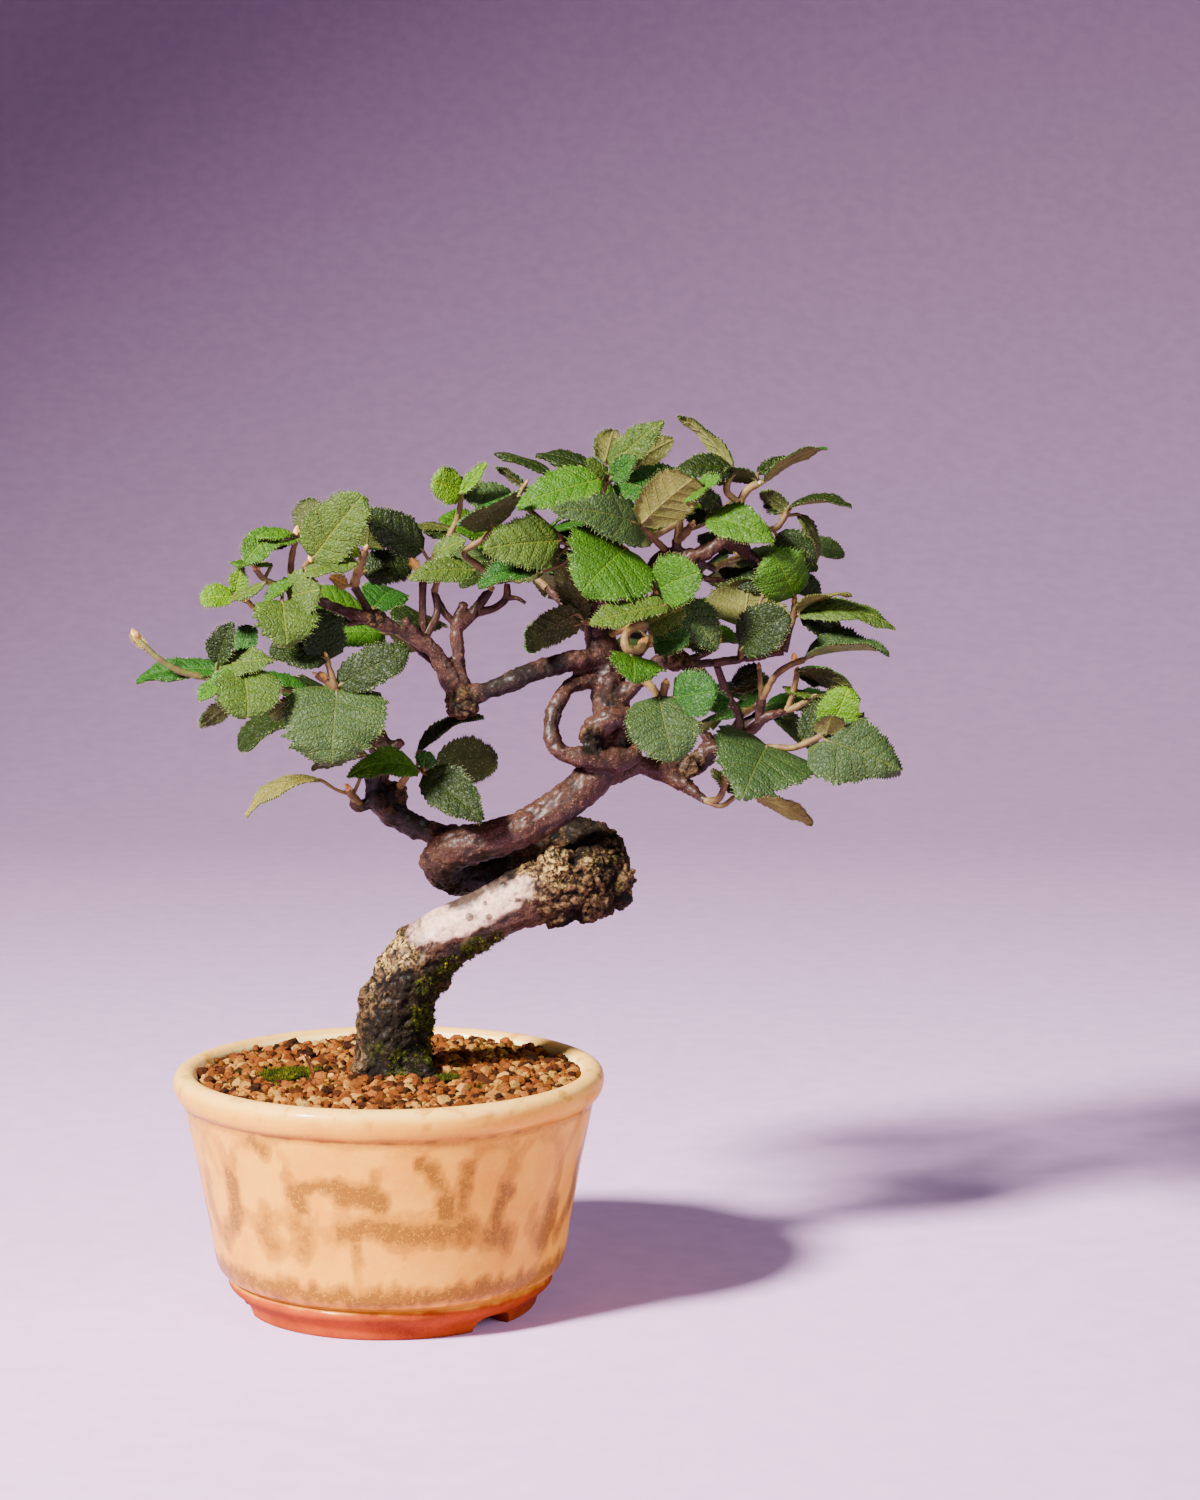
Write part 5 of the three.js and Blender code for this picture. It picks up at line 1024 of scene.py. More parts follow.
class BONSAI_OT_wood(bpy.types.Operator):
    """Model the trunk, branches, twigs and knobs with their bark"""

    bl_idname = "bonsai.wood"
    bl_label = "Wood"

    def execute(self, context):
        sizes = context.scene.bonsai_wood
        thick_paths, thin_paths = [smooth_path(along_front(TRUNK), 0.0015)], []
        for rows in BRANCHES:
            path = smooth_path(along_front(rows), 0.0008)
            dice = random.Random(len(thin_paths) * 7 + len(thick_paths))
            ring = dice.uniform(0, 6)
            for row in path:
                at = Vector(row[:3]) * 320
                row[3] *= 1 + 0.16 * noise.noise(at) + 0.1 * max(0, math.sin(at.length + ring)) ** 6
            (thick_paths if rows[0][3] > THICK_BRANCH else thin_paths).append(path)
        thick = tubes("wood", thick_paths, 4)
        knobs = []
        for i, (x, z, y, radius) in enumerate(KNOBS):
            deselect()
            bpy.ops.mesh.primitive_ico_sphere_add(subdivisions=4, radius=radius / 1000)
            knob = bpy.context.object
            centre = from_front(x, z, y)
            swollen = []
            for point in coordinates(knob):
                lump = noise.fractal(Vector(point) * 190 + Vector((i, 0, 0)), 1.0, 2.0, 2)
                swollen.append(centre + point * (0.96 + 0.2 * lump))
            place_points(knob, swollen)
            knobs.append(knob)
        wood = join("wood", thick, *knobs)
        remesh = wood.modifiers.new("One skin", "REMESH")
        remesh.mode = "VOXEL"
        remesh.voxel_size = sizes.grid
        apply_modifiers(wood)
        break_bark(wood, sizes.bark_depth, True)
        twigs = tubes("twigs", thin_paths, 2)
        break_bark(twigs, sizes.bark_depth * 0.3, False)
        wood = join("wood_grown", wood, twigs)
        smooth(wood)
        add_material(wood, bark_material(sizes))
        as_piece(wood, "bark", "wood")
        return {"FINISHED"}


# ---------------------------------------------------------------------------------------------------------
# Leaves


LATERAL_LEAD = 0.36
# Outlines of blades: how far the base goes back as a share of the length, and half widths from base to tip,
# as shares of the greatest, at stations that lie closest together at both ends
OUTLINES = {
    "ovate": (0.0, (0.05, 0.3, 0.6, 0.87, 1.0, 0.97, 0.84, 0.62, 0.36, 0.14, 0.02)),
    "round": (0.03, (0.1, 0.44, 0.73, 0.93, 1.0, 1.0, 0.95, 0.82, 0.6, 0.3, 0.05)),
    "broad": (0.02, (0.08, 0.36, 0.62, 0.83, 0.95, 1.0, 0.98, 0.88, 0.68, 0.38, 0.06)),
    "fan": (0.1, (0.34, 0.62, 0.86, 0.98, 1.0, 0.94, 0.82, 0.65, 0.44, 0.22, 0.03)),
    "heart": (0.16, (0.3, 0.62, 0.9, 1.0, 0.93, 0.78, 0.6, 0.42, 0.25, 0.11, 0.02)),
}


def half_width(outline, u):
    """Half width of a blade along its midrib, as a share of its greatest."""
    return np.interp(np.arccos(1 - 2 * np.clip(u, 0, 1)), np.linspace(0, math.pi, 11), OUTLINES[outline][1])


def outline_for(length, width, dice):
    ratio = width / length
    if ratio > 1.2:
        return "fan"
    return dice.choice(("round", "broad", "round") if ratio > 0.72 else ("ovate", "round", "ovate"))


# Grids of blades longer than a length, as rows, columns and pairs of side veins
BLADE_GRIDS = ((0.015, 48, 20, 6), (0.0105, 34, 14, 5), (0, 22, 10, 4))


def blade_blank(rows, columns):
    """A flat grid that a blade is bent from."""
    deselect()
    bpy.ops.mesh.primitive_grid_add(x_subdivisions=columns, y_subdivisions=rows, size=1, calc_uvs=False)
    blank = bpy.context.object
    blank.name = f"blade_{rows}"
    return blank


def bend_blade(flat, rows, veins, base, tip, normal, width, fold, arch, outline, quilting, dice):
    """Where the places of a flat grid go in a toothed, quilted blade, and what its material reads."""
    side = flat[:, 0] * 2
    v = flat[:, 1] + 0.5
    across = np.abs(side)
    length = np.linalg.norm(tip - base)
    midrib = (tip - base) / length
    right = np.cross(midrib, normal)
    lead = LATERAL_LEAD * (1 - v) * (1 - (1 - v) ** 7)
    margin = across > 0.99
    row = np.rint(v * rows).astype(int)
    tooth = np.where(row % 2 == 1, 1.0, -1.0) * margin * ((row > 0) & (row < rows))
    coarse = 0.6 + 0.8 * np.sin(row * 1.9 + dice.uniform(0, 6.3) + side) ** 2
    back = OUTLINES[outline][0] * (across * (1 - v) ** 8)
    u = v + lead * across**1.1 + tooth * 0.3 / rows - back
    half = np.maximum(0.5 * width * half_width(outline, v + lead), 0.0004)
    phase = v * veins
    hand = np.sign(side)
    bulk = np.array([noise.noise(Vector((a * 2.6, b * 1.1, width * 7e3))) for a, b in zip(v, hand)])
    half = half * (1 + 0.2 * bulk + 0.03 * np.cos(math.tau * phase) + hand * dice.uniform(-0.07, 0.07))
    if width > 1.2 * length:
        for at, size in ((0.25, 0.14), (0.45, 0.22), (0.68, 0.3)):
            lobe = at + 0.06 * hand * dice.uniform(-1, 1)
            half = half * (1 + dice.uniform(0.4, 1) * size * np.exp(-(((v - lobe) / 0.05) ** 2)))
    half = half * (1 + tooth * 0.02 * coarse) + tooth * coarse * 0.0003
    x = side * half

    ridge = np.abs(np.sin(np.pi * phase)) ** 0.75
    bulge = quilting * length * (ridge - 0.5) * np.clip(across * 5, 0, 1) * (1 - across**4)
    groove = -0.00022 * np.exp(-((x / 0.0005) ** 2)) * (1 - v)
    wave = 0.024 * length * across**2 * np.sin(dice.uniform(7, 11) * v + dice.uniform(0, 6.3) + side)
    curl = -dice.uniform(0.02, 0.1) * width * across**2.5
    lifted = np.sqrt(x * x + (0.06 * width) ** 2) - 0.06 * width
    angle = math.radians(fold)
    tip_turn = -dice.uniform(0.0, 0.05) * length * np.clip(u - 0.7, 0, 1) ** 2 * 8
    height = arch * length * 4 * u * (1 - u) + lifted * math.sin(angle) + bulge + groove
    height = height + wave + curl + tip_turn
    sway = dice.uniform(-0.03, 0.03) * length * 4 * u * (1 - u)
    points = base + np.outer(u * length, midrib)
    points = points + np.outer(x * math.cos(angle) + sway, right) + np.outer(height, normal)
    place = np.stack([side * half * 1000, phase, across], axis=1)
    return points, place, margin


def leaf_normal(base, tip, face):
    """The upper side's direction of a leaf of the front view: 0 faces the eye, 90 up, 180 away."""
    along = unit(tip - base)
    to_eye = square_to(EYE + AXIS - base, along)
    aside = np.cross(along, to_eye)
    if aside[2] < 0:
        aside = -aside
    turn = math.radians(face)
    return to_eye * math.cos(turn) + aside * math.sin(turn)


def root_of(stems, base):
    """The place on the stems where a leaf's petiole starts, a little back from the nearest."""
    shortest, root = math.inf, None
    for _, places in stems:
        for start, end in zip(places, places[1:]):
            stretch = end - start
            t = min(1, max(0, (base - start).dot(stretch) / stretch.dot(stretch)))
            near = start + t * stretch
            distance = np.linalg.norm(near - base)
            if distance < shortest:
                shortest = distance
                back = min(0.3 * distance, np.linalg.norm(near - start))
                root = near - back * unit(stretch)
    return root


def back_leaves(seed, places):
    """Opposite pairs of leaves along a twig, each pair turned a quarter from the last."""
    state = seed

    def next_share():
        nonlocal state
        state = state * DRAW_STEP % DRAW_SPAN
        return state / DRAW_SPAN

    rows = np.array([[*place, 0] for place in places])
    path = smooth_path(rows, 0.0002)[:, :3]
    run = np.concatenate([[0], np.cumsum(np.linalg.norm(np.diff(path, axis=0), axis=1))])
    up = np.array([0, 0, 1.0])
    leaves = []
    for pair in range(BACK_PAIRS):
        share = (0.3 + 0.7 * pair / (BACK_PAIRS - 1)) * run[-1]
        at = np.array([np.interp(share, run, path[:, i]) for i in range(3)])
        i = min(np.searchsorted(run, share), len(path) - 1)
        tangent = unit(path[i] - path[i - 1])
        across = unit(np.cross(tangent, up))
        above = np.cross(across, tangent)
        turn = math.radians(20 + 90 * pair + 30 * next_share())
        for side in (-1, 1):
            out = side * math.cos(turn) * across + 0.5 * side * math.sin(turn) * above + 0.55 * tangent
            out = unit(out)
            base = at + 0.0045 * out
            length = BACK_LEAF_LENGTH * (0.85 + 0.3 * next_share())
            tip = base + length * unit(out + up * (-0.15 - 0.2 * next_share()))
            normal = square_to(up - 0.4 * tangent, unit(tip - base))
            leaves.append((base, tip, normal, length * (0.7 + 0.15 * next_share()), 10, 0.08))
    return leaves


def leaf_material(under):
    finish = Finish("leaf_under" if under else "leaf_upper", Specular_IOR_Level=0.14)
    lateral, phase, across = finish.parts(finish.attribute("leaf_place"))
    tone = finish.attribute("under_tone" if under else "upper_tone", "Color")
    cloud = finish.noise(0.0045, detail=3)
    speck = finish.noise(0.00055, detail=2, roughness=0.7)
    pores = finish.cells(0.00075)
    net = finish.cells(0.0013, "DISTANCE_TO_EDGE")
    rib = 1 - abs(lateral).ease(0.14, 0.36)
    between = abs(phase.maths("FRACT", phase + 0.5) - 0.5)
    side_vein = (1 - between.ease(0.02, 0.085)) * (1 - across.ease(0.75, 1.0))
    veins = rib.maths("MAXIMUM", rib, side_vein * 0.7)
    colour = finish.mix(cloud.ease(0.3, 0.7), tone, finish.shade(tone, 1.5, 1.4, 1.3))
    if under:
        colour = finish.mix(veins * 0.8, colour, finish.shade(tone, 1.9, 1.7, 1.7))
        colour = finish.mix(speck.ease(0.55, 0.72) * 0.3, colour, srgb(0xA8A684))
        normal = finish.bump(veins * 1.2 + speck * 0.5 + net.ease(0, 0.15) * 0.3, 0.00025, 0.8)
        return finish.lead(Base_Color=colour, Normal=normal, Roughness=speck * 0.2 + 0.65)
    # Painted shade: darker in the furrows beside the sunken side veins and along the sunken net of veinlets
    furrow_shade = (1 - between.ease(0.03, 0.2)) * (1 - across.ease(0.8, 1.0))
    colour = finish.mix(furrow_shade * 0.65, colour, finish.shade(tone, 0.55, 0.68, 0.6))
    colour = finish.mix((1 - net.ease(0.0, 0.1)) * 0.3, colour, finish.shade(tone, 0.6, 0.7, 0.6))
    colour = finish.mix(veins * 0.75, colour, finish.shade(tone, 2.9, 1.9, 1.2))
    # Light dots of hairs and glands: partly their own pale colour, partly painted glints
    colour = finish.mix(speck.ease(0.55, 0.68) * 0.6, colour, finish.shade(tone, 3.2, 2.2, 1.0))
    hoary = speck.ease(0.58, 0.68) * (0.06 + 0.45 * across.ease(0.78, 1.0))
    colour = finish.mix(hoary, colour, srgb(0xA8B868))
    relief = net.ease(0, 0.2) * 0.4 + (1 - pores.ease(0, 0.6)) * 0.5 + speck * 0.4 - veins * 0.5
    normal = finish.bump(relief, 0.0003)
    return finish.lead(Base_Color=colour, Normal=normal, Roughness=0.62 - speck * 0.3)


def stem_material():
    finish = Finish("stem")
    tone = finish.attribute("upper_tone", "Color")
    blotch = finish.noise(0.0022, detail=3)
    fuzz = finish.noise(0.00035, detail=2, roughness=0.7)
    colour = finish.mix(blotch.ease(0.4, 0.65) * 0.75, tone, srgb(0x4C240E))
    colour = finish.mix(fuzz.ease(0.54, 0.7) * 0.3, colour, srgb(0x8C7A2C))
    normal = finish.bump(fuzz + blotch, 0.0002, 0.8)
    return finish.lead(Base_Color=colour, Normal=normal, Roughness=fuzz * 0.2 + 0.55)


def down_material(sizes):
    finish = Finish("down", Roughness=0.6)
    change = finish.noise(0.002)
    return finish.lead(Base_Color=finish.mix(change.ease(0.3, 0.7), sizes.down, srgb(0x8A8840)))


# Leaves whose outline the front view shows plainly, by spray and number
SHAPES = {
    ("low_right", 0): "heart", ("low_right", 3): "heart", ("top_right", 0): "heart",
    ("right_upper", 0): "broad", ("fork_top", 0): "broad", ("right_middle", 0): "broad",
    ("top_right", 1): "broad", ("middle_right", 0): "round", ("right_lower", 0): "ovate",
    ("top_middle", 5): "ovate",
}
# Sprays whose stems are still green
GREEN_STEMS = {"far_left"}
# Buds that the front view shows, by spray: x, z, y, length, turn from upright in degrees, colour
BUDS = {
    "far_left": ((-69.3, 188.2, -25.5, 3.4, -25, 0xE2A646), (-11.2, 167.2, -2, 2.2, 30, 0xB98050)),
    "upper_left": (
        (-24.3, 216.6, -17, 3, 5, 0xD9A24C), (-20.5, 209.2, -22, 3, -15, 0xD9A24C),
        (-35.6, 206.6, -20, 2.8, -20, 0xC98A48), (-38.6, 198, -16, 2.4, -40, 0xC98A48),
    ),
    "left_front": ((-17.6, 176.6, -21, 3.2, -40, 0xDBA03E), (-16.8, 182, -21, 2.4, 0, 0xC88C40)),
    "lower_left": ((-10.8, 145.4, 1, 2.8, -20, 0xD9A060),),
    "top_left": ((14, 209.9, -12.5, 2.6, 10, 0xD8A03C), (20.8, 226.8, -14, 2.4, 5, 0xD0A050)),
    "right_upper": ((112.3, 197.6, -8, 2.6, 5, 0xD8A03C),),
    "right_end": ((113.1, 178, -6, 2.6, 10, 0xE0A844),),
    "right_lower": ((112.3, 181.8, -7, 2.8, 0, 0xE0A844),),
    "middle_right": ((70.7, 186, -16, 3.6, 40, 0xE0A040), (77.6, 196.4, -12, 2.6, 20, 0xD8A24A)),
    "right_front": ((76.9, 174.2, -15, 3.8, 5, 0xD8A24A),),
    "top_right": ((84.2, 218.4, -7, 2.6, 20, 0xD0A050), (70.2, 218.2, -10, 2.2, -20, 0xC99048)),
    "upper_right": ((102.6, 229.6, -7.2, 2.8, 40, 0xE6C3B4), (95.1, 232.4, -7, 2.4, -10, 0xD8B890)),
    "low_middle": ((10, 151, -6, 2.4, 20, 0xC99048),),
    "top_middle": ((60.9, 231.6, -5, 2.6, 10, 0xD0A050), (49, 214, -10, 2.2, -30, 0xC99048)),
}


class Foliage:
    """The blanks, materials and sizes that all sprays share."""

    def __init__(self, sizes):
        self.sizes = sizes
        self.grids = [(over, blade_blank(rows, columns), rows, veins)
                      for over, rows, columns, veins in BLADE_GRIDS]
        self.blade_materials = leaf_material(False), leaf_material(True)
        self.stem_material = stem_material()
        self.down_material = down_material(sizes)

    def blank_for(self, length):
        """The flat grid for a blade of a length, its rows, and its pairs of side veins."""
        return next(grid[1:] for grid in self.grids if length > grid[0])

    def clear(self):
        for _, blank, _, _ in self.grids:
            bpy.data.objects.remove(blank)


def hair_blank():
    deselect()
    bpy.ops.mesh.primitive_cone_add(vertices=3, radius1=1, radius2=0, depth=1, location=(0, 0, 0.5))
    bpy.ops.object.transform_apply(location=True)
    return bpy.context.object


def bud_blank():
    """A pointed bud of two scales, one high and one half wide, standing on its base."""
    deselect()
    bpy.ops.mesh.primitive_ico_sphere_add(subdivisions=3, radius=1)
    bud = bpy.context.object
    points = coordinates(bud)
    up = (points[:, 2] + 1) / 2
    seam = 1 - 0.22 * np.exp(-((points[:, 0] / 0.16) ** 2)) * (up > 0.1)
    girth = np.sqrt(up) * (1 - up) ** 0.8 * 1.55 / np.maximum(np.hypot(points[:, 0], points[:, 1]), 1e-6)
    points[:, 0] *= girth * 0.5
    points[:, 1] *= girth * 0.42 * seam
    points[:, 2] = up
    place_points(bud, points)
    return bud


def tinted(code, dice, spread=0.1):
    """A colour as linear values, a little lighter or darker and warmer or cooler."""
    colour = np.array(srgb(code) if isinstance(code, int) else tuple(code))
    light = 1 + dice.uniform(-spread, spread)
    shift = np.array([1 + dice.uniform(-0.08, 0.08), 1, 1 + dice.uniform(-0.1, 0.1)])
    colour[:3] = colour[:3] * light * shift
    return np.clip(colour, 0, 1)


def grow_spray(name, stems, leaves, foliage, seed):
    """Model a leafy stem: blades, petioles, stems, buds and down, as the piece that stands for its node."""
    sizes, dice = foliage.sizes, random.Random(seed)
    blades, hairs, paths, tones = [], [], [], []
    stem = srgb(0x4A5208) if name in GREEN_STEMS else sizes.stem
    for radius, places in stems:
        rows = np.array([[*place, radius * (1.05 - 0.25 * i / len(places))]
                         for i, place in enumerate(places)])
        path = smooth_path(rows, 0.0007)
        swell = np.array([noise.noise(Vector(place[:3]) * 700) for place in path])
        path[:, 3] *= 1 + 0.22 * swell
        paths.append(path)
        tones.append(tinted(stem, dice))
    for base, tip, normal, width, fold, arch, upper, under in leaves:
        length = np.linalg.norm(tip - base)
        blank, rows, veins = foliage.blank_for(length)
        outline = SHAPES.get((name, len(blades))) or outline_for(length, width, dice)
        points, place, margin = bend_blade(
            coordinates(blank), rows, veins, base, tip, normal, width, fold, arch, outline,
            sizes.quilting, dice)
        blade = bpy.data.objects.new("blade", blank.data.copy())
        bpy.context.collection.objects.link(blade)
        place_points(blade, points)
        write(blade, "leaf_place", "FLOAT_VECTOR", place)
        write(blade, "upper_tone", "FLOAT_COLOR", np.tile(tinted(upper, dice), (len(points), 1)))
        write(blade, "under_tone", "FLOAT_COLOR", np.tile(tinted(under, dice), (len(points), 1)))
        blades.append(blade)

        midrib = (tip - base) / length
        right = np.cross(midrib, normal)
        for at, side in zip(points[margin], place[margin][:, 0]):
            out = math.copysign(1, side) * right + 0.55 * midrib + 0.45 * random_unit(dice)
            long = sizes.hair * dice.uniform(0.5, 1.1)
            hairs.append(frame_along(at, out, normal + 0.01, (0.00006, 0.00006, long)))
        root = root_of(stems, base)
        distance = np.linalg.norm(base - root)
        bow = 0.5 * (root + base) - normal * 0.08 * distance
        onto = base + midrib * 0.12 * length + normal * (0.4 * arch * length - 0.00035)
        neck = base - normal * 0.0002
        rows = np.array([[*root, 0.00062], [*bow, 0.00046], [*neck, 0.0005], [*onto, 0.00018]])
        paths.append(smooth_path(rows, 0.0008))
        greener = 0.25 if length > 0.012 else 0.5
        tones.append(tinted(stem, dice) * (1 - greener) + tinted(upper, dice) * greener)

    young = tubes("young_wood", paths, 2)
    for path in paths:
        for i in range(1, len(path) - 1):
            for _ in range(2):
                way = unit(path[i + 1, :3] - path[i, :3])
                out = square_to(random_unit(dice), way)
                at = path[i, :3] + out * path[i, 3] * 0.9
                long = sizes.hair * dice.uniform(0.3, 0.8)
                hairs.append(frame_along(at, out + 0.4 * way, way, (0.00005, 0.00005, long)))
    spread = np.vstack(paths)[:, :3]
    tone = np.repeat(np.array(tones), [len(path) for path in paths], axis=0)
    write(young, "upper_tone", "FLOAT_COLOR", nearest_values(coordinates(young), spread, tone))
    add_material(young, foliage.stem_material)
    smooth(young, 60)

    leafage = join("blades", *blades)
    add_material(leafage, *foliage.blade_materials)
    skin = leafage.modifiers.new("Blade", "SOLIDIFY")
    skin.thickness = sizes.thickness
    skin.offset = 0
    skin.material_offset = 1
    apply_modifiers(leafage)
    smooth(leafage, 50)

    buds = BUDS.get(name, ())
    frames = []
    for x, z, y, length, turn, _ in buds:
        angle = math.radians(turn)
        axis = np.array([math.sin(angle), -0.15, math.cos(angle)])
        foot = from_front(x, z, y) - 0.5 * length / 1000 * unit(axis)
        frames.append(frame_along(foot, axis, (1, 0.4, 0), (length / 1000,) * 3))
    colours = [tinted(colour, dice, 0.05) for *_, colour in buds]
    for _, places in stems:
        way = unit(places[-1] - places[-2])
        length = dice.uniform(0.0014, 0.002)
        frames.append(frame_along(places[-1] - way * 0.0003, way, random_unit(dice), (length * 1.2,) * 3))
        colours.append(tinted(0xB5834A, dice))
    blank = bud_blank()
    each = len(blank.data.vertices)
    shoots = scatter("buds", blank, frames)
    write(shoots, "upper_tone", "FLOAT_COLOR", np.repeat(np.array(colours), each, axis=0))
    add_material(shoots, foliage.stem_material)
    smooth(shoots)
    down = scatter("down", hair_blank(), hairs)
    add_material(down, foliage.down_material)
    spray = join(f"{name}_spray", young, leafage, shoots, down)
    as_piece(spray, "leaf_back" if name.startswith("back") else "leaf", f"leaves_{name}")


def nearest_values(points, places, values):
    """For each point, the value of the nearest place."""
    found = np.empty((len(points), values.shape[1]))
    for start in range(0, len(points), 2000):
        part = points[start : start + 2000]
        gaps = ((part[:, None] - places[None]) ** 2).sum(axis=2)
        found[start : start + 2000] = values[gaps.argmin(axis=1)]
    return found


def under_of(upper):
    """The paler, greyer colour of a leaf's underside."""
    mixed = 0
    for shift in (16, 8, 0):
        mixed |= int(0.4 * (upper >> shift & 255) + 0.6 * (UNDERSIDE >> shift & 255)) << shift
    return mixed


class BONSAI_OT_leaves(bpy.types.Operator):
    """Model the leafy stems that the front view shows"""

    bl_idname = "bonsai.leaves"
    bl_label = "Leaves"

    def execute(self, context):
        foliage = Foliage(context.scene.bonsai_leaves)
        for seed, (name, (letters, stem_rows, leaf_rows)) in enumerate(SPRAYS.items()):
            stems = [(radius / 1000, [from_front(*place) for place in places])
                     for radius, *places in stem_rows]
            leaves = []
            for letter, (*ends, width, face, fold, arch) in zip(letters, leaf_rows):
                base, tip = from_front(*ends[:3]), from_front(*ends[3:])
                seen = LEAF_TONES[letter]
                upper, under = (LEAF_TONES["m"], seen) if face > 100 else (seen, under_of(seen))
                normal = leaf_normal(base, tip, face)
                leaves.append((base, tip, normal, width / 1000, fold, arch, upper, under))
            grow_spray(name, stems, leaves, foliage, seed + 1)
        foliage.clear()
        return {"FINISHED"}


class BONSAI_OT_back_leaves(bpy.types.Operator):
    """Model the leafy twigs that fill the crown behind"""

    bl_idname = "bonsai.back_leaves"
    bl_label = "Leaves Behind"

    def execute(self, context):
        foliage = Foliage(context.scene.bonsai_leaves)
        for name, (seed, *rows) in BACK_TWIGS.items():
            places = [from_front(*row) for row in rows]
            dice = random.Random(seed)
            leaves = []
            for leaf in back_leaves(seed, places):
                # Leaves behind are drawn mostly from the mid and darker tones; the darker one is painted
                # shade inside the crown, the lighter one painted light
                upper = LEAF_TONES[dice.choice("mddubm")]
                leaves.append((*leaf, upper, under_of(upper)))
            grow_spray(name, [(0.001, places)], leaves, foliage, seed + 100)
        foliage.clear()
        return {"FINISHED"}


# ---------------------------------------------------------------------------------------------------------
# Pot


# The pot's outline from the foot's inside up over the lip to the floor, as radius and height in mm
POT_OUTLINE = (
    (33.2, 5.2), (34, 0.5), (34.6, 0), (40.2, 0), (40.9, 0.7), (41.6, 3), (43, 4.6), (44.6, 6),
    (45.4, 7.1), (45.3, 8), (44.9, 8.7), (44.6, 9.2), (45, 9.8), (46.6, 10.4), (48.2, 12.2), (49.4, 17),
    (50.6, 25), (52, 32), (53.4, 40), (55, 47.5), (56.5, 55), (57, 57.6), (57.2, 58.4), (58.2, 59.2),
    (59.4, 61), (60, 63.6), (59.7, 65.4), (58.8, 66.6), (57.2, 67.2), (55.6, 67.1), (54.3, 66.3),
    (53.6, 65), (52.9, 60), (51.6, 50), (47.8, 25), (45, 14.6), (42, 11.2), (39, 10.5), (6.4, 10.5),
    (6, 10.1), (6, 5.6), (6.4, 5.2),
)
# The front's runs are repeated round the back at these turns, but for those at its edges
RUN_TURNS = (0, 127, -118)
REPEATED_WITHIN = 51
MM_PER_DEGREE = 0.9
FOOT_GAPS = 3
FOOT_GAP_TURN = -44


def glaze_strength(angle, height):
    """How much amber lies at places of the pot's outside, by angle from the front and height in mm."""
    fray = np.array([noise.fractal(Vector((a * 0.35, h * 0.16, 7.7)), 1.0, 2.0, 4)
                     for a, h in zip(angle, height)])
    wobble = np.array([noise.noise(Vector((a * 0.07, h * 0.1, 3.1))) for a, h in zip(angle, height)])
    amber = np.zeros(len(angle))
    for turned in RUN_TURNS:
        around = (angle - turned + 180) % 360 - 180
        for half, strength, *line in GLAZE_RUNS:
            if turned and abs(line[0]) > REPEATED_WITHIN:
                continue
            for a0, h0, a1, h1 in zip(line[::2], line[1::2], line[2::2], line[3::2]):
                along, up = (a1 - a0) * MM_PER_DEGREE, h1 - h0
                t = ((around - a0) * MM_PER_DEGREE * along + (height - h0) * up) / (along * along + up * up)
                t = np.clip(t, 0, 1)
                gap = np.hypot((around - a0) * MM_PER_DEGREE - t * along, (height - h0 - t * up) * 0.8)
                gap = gap + 1.3 * fray + 0.6 * wobble
                amber = np.maximum(amber, strength * ease(half * 1.6, half * 0.25, gap))
    low = 0.85 * ease(5.6, 0.6, np.abs(height - 14 - 2.2 * fray - 1.2 * wobble))
    # The amber band under the lip, widened as painted shade there: partly the glaze's own band, partly
    # painted shade
    high = 0.42 * ease(2.6, 0.6, np.abs(height - 58.2 - 1.2 * wobble))
    return np.maximum.reduce([amber, low, high]) * (height > 9.4) * (height < 60.5)


def glaze_material(sizes):
    finish = Finish("glazed_clay", Coat_Roughness=0.1, Coat_IOR=1.4, Specular_IOR_Level=0.12)
    amber, bare, painted_shade = finish.parts(finish.attribute("glaze"))
    pale = finish.attribute("pale_and_lit_glaze", "Fac")
    cloud = finish.noise(0.012, detail=4, roughness=0.6)
    streak = finish.noise(0.0016, detail=4, roughness=0.7)
    grit = finish.noise(0.0006, detail=2)
    cream = finish.mix(cloud.ease(0.38, 0.66), sizes.glaze, srgb(0xD08804))
    cream = finish.mix(streak.ease(0.5, 0.8) * 0.3, cream, srgb(0xECC040))
    # Paler inside and on the lip's top: partly the glaze's own look, partly painted highlight
    cream = finish.mix(pale, cream, srgb(0xF2D890))
    tan = amber + (streak - 0.5) * 0.8 * amber.ease(0.02, 0.4)
    colour = finish.mix(tan.ease(0.05, 0.42) * 0.85, cream, srgb(0xAE6E00))
    colour = finish.mix(tan.ease(0.4, 0.85) * 0.9, colour, sizes.amber)
    crystal = grit.ease(0.58, 0.7) * amber.ease(0.35, 0.8)
    colour = finish.mix(crystal * 0.45, colour, srgb(0xD8A418))
    flecks = (1 - finish.cells(0.0042).ease(0.06, 0.16)) * finish.noise(0.004, detail=0).ease(0.62, 0.7)
    colour = finish.mix(flecks * 0.5, colour, srgb(0xC07414))
    # Painted shade in the groove above the foot and under the lip
    colour = finish.mix(painted_shade * (0.5 + streak * 0.6), colour, srgb(0x5A3004))
    clay = finish.mix(cloud.ease(0.3, 0.7), sizes.clay, srgb(0x782806))
    clay = finish.mix(grit.ease(0.55, 0.75) * 0.3, clay, srgb(0xB06028))
    colour = finish.mix(bare, colour, clay)
    peel = finish.noise(0.0035, detail=2)
    normal = finish.bump(peel * 0.7 + grit * 0.06 + bare * grit * 0.6, 0.0003, 0.35)
    return finish.lead(
        Base_Color=colour, Normal=normal, Roughness=0.4 + bare * 0.4 + streak * 0.1,
        Coat_Weight=(1 - bare) * 0.22)


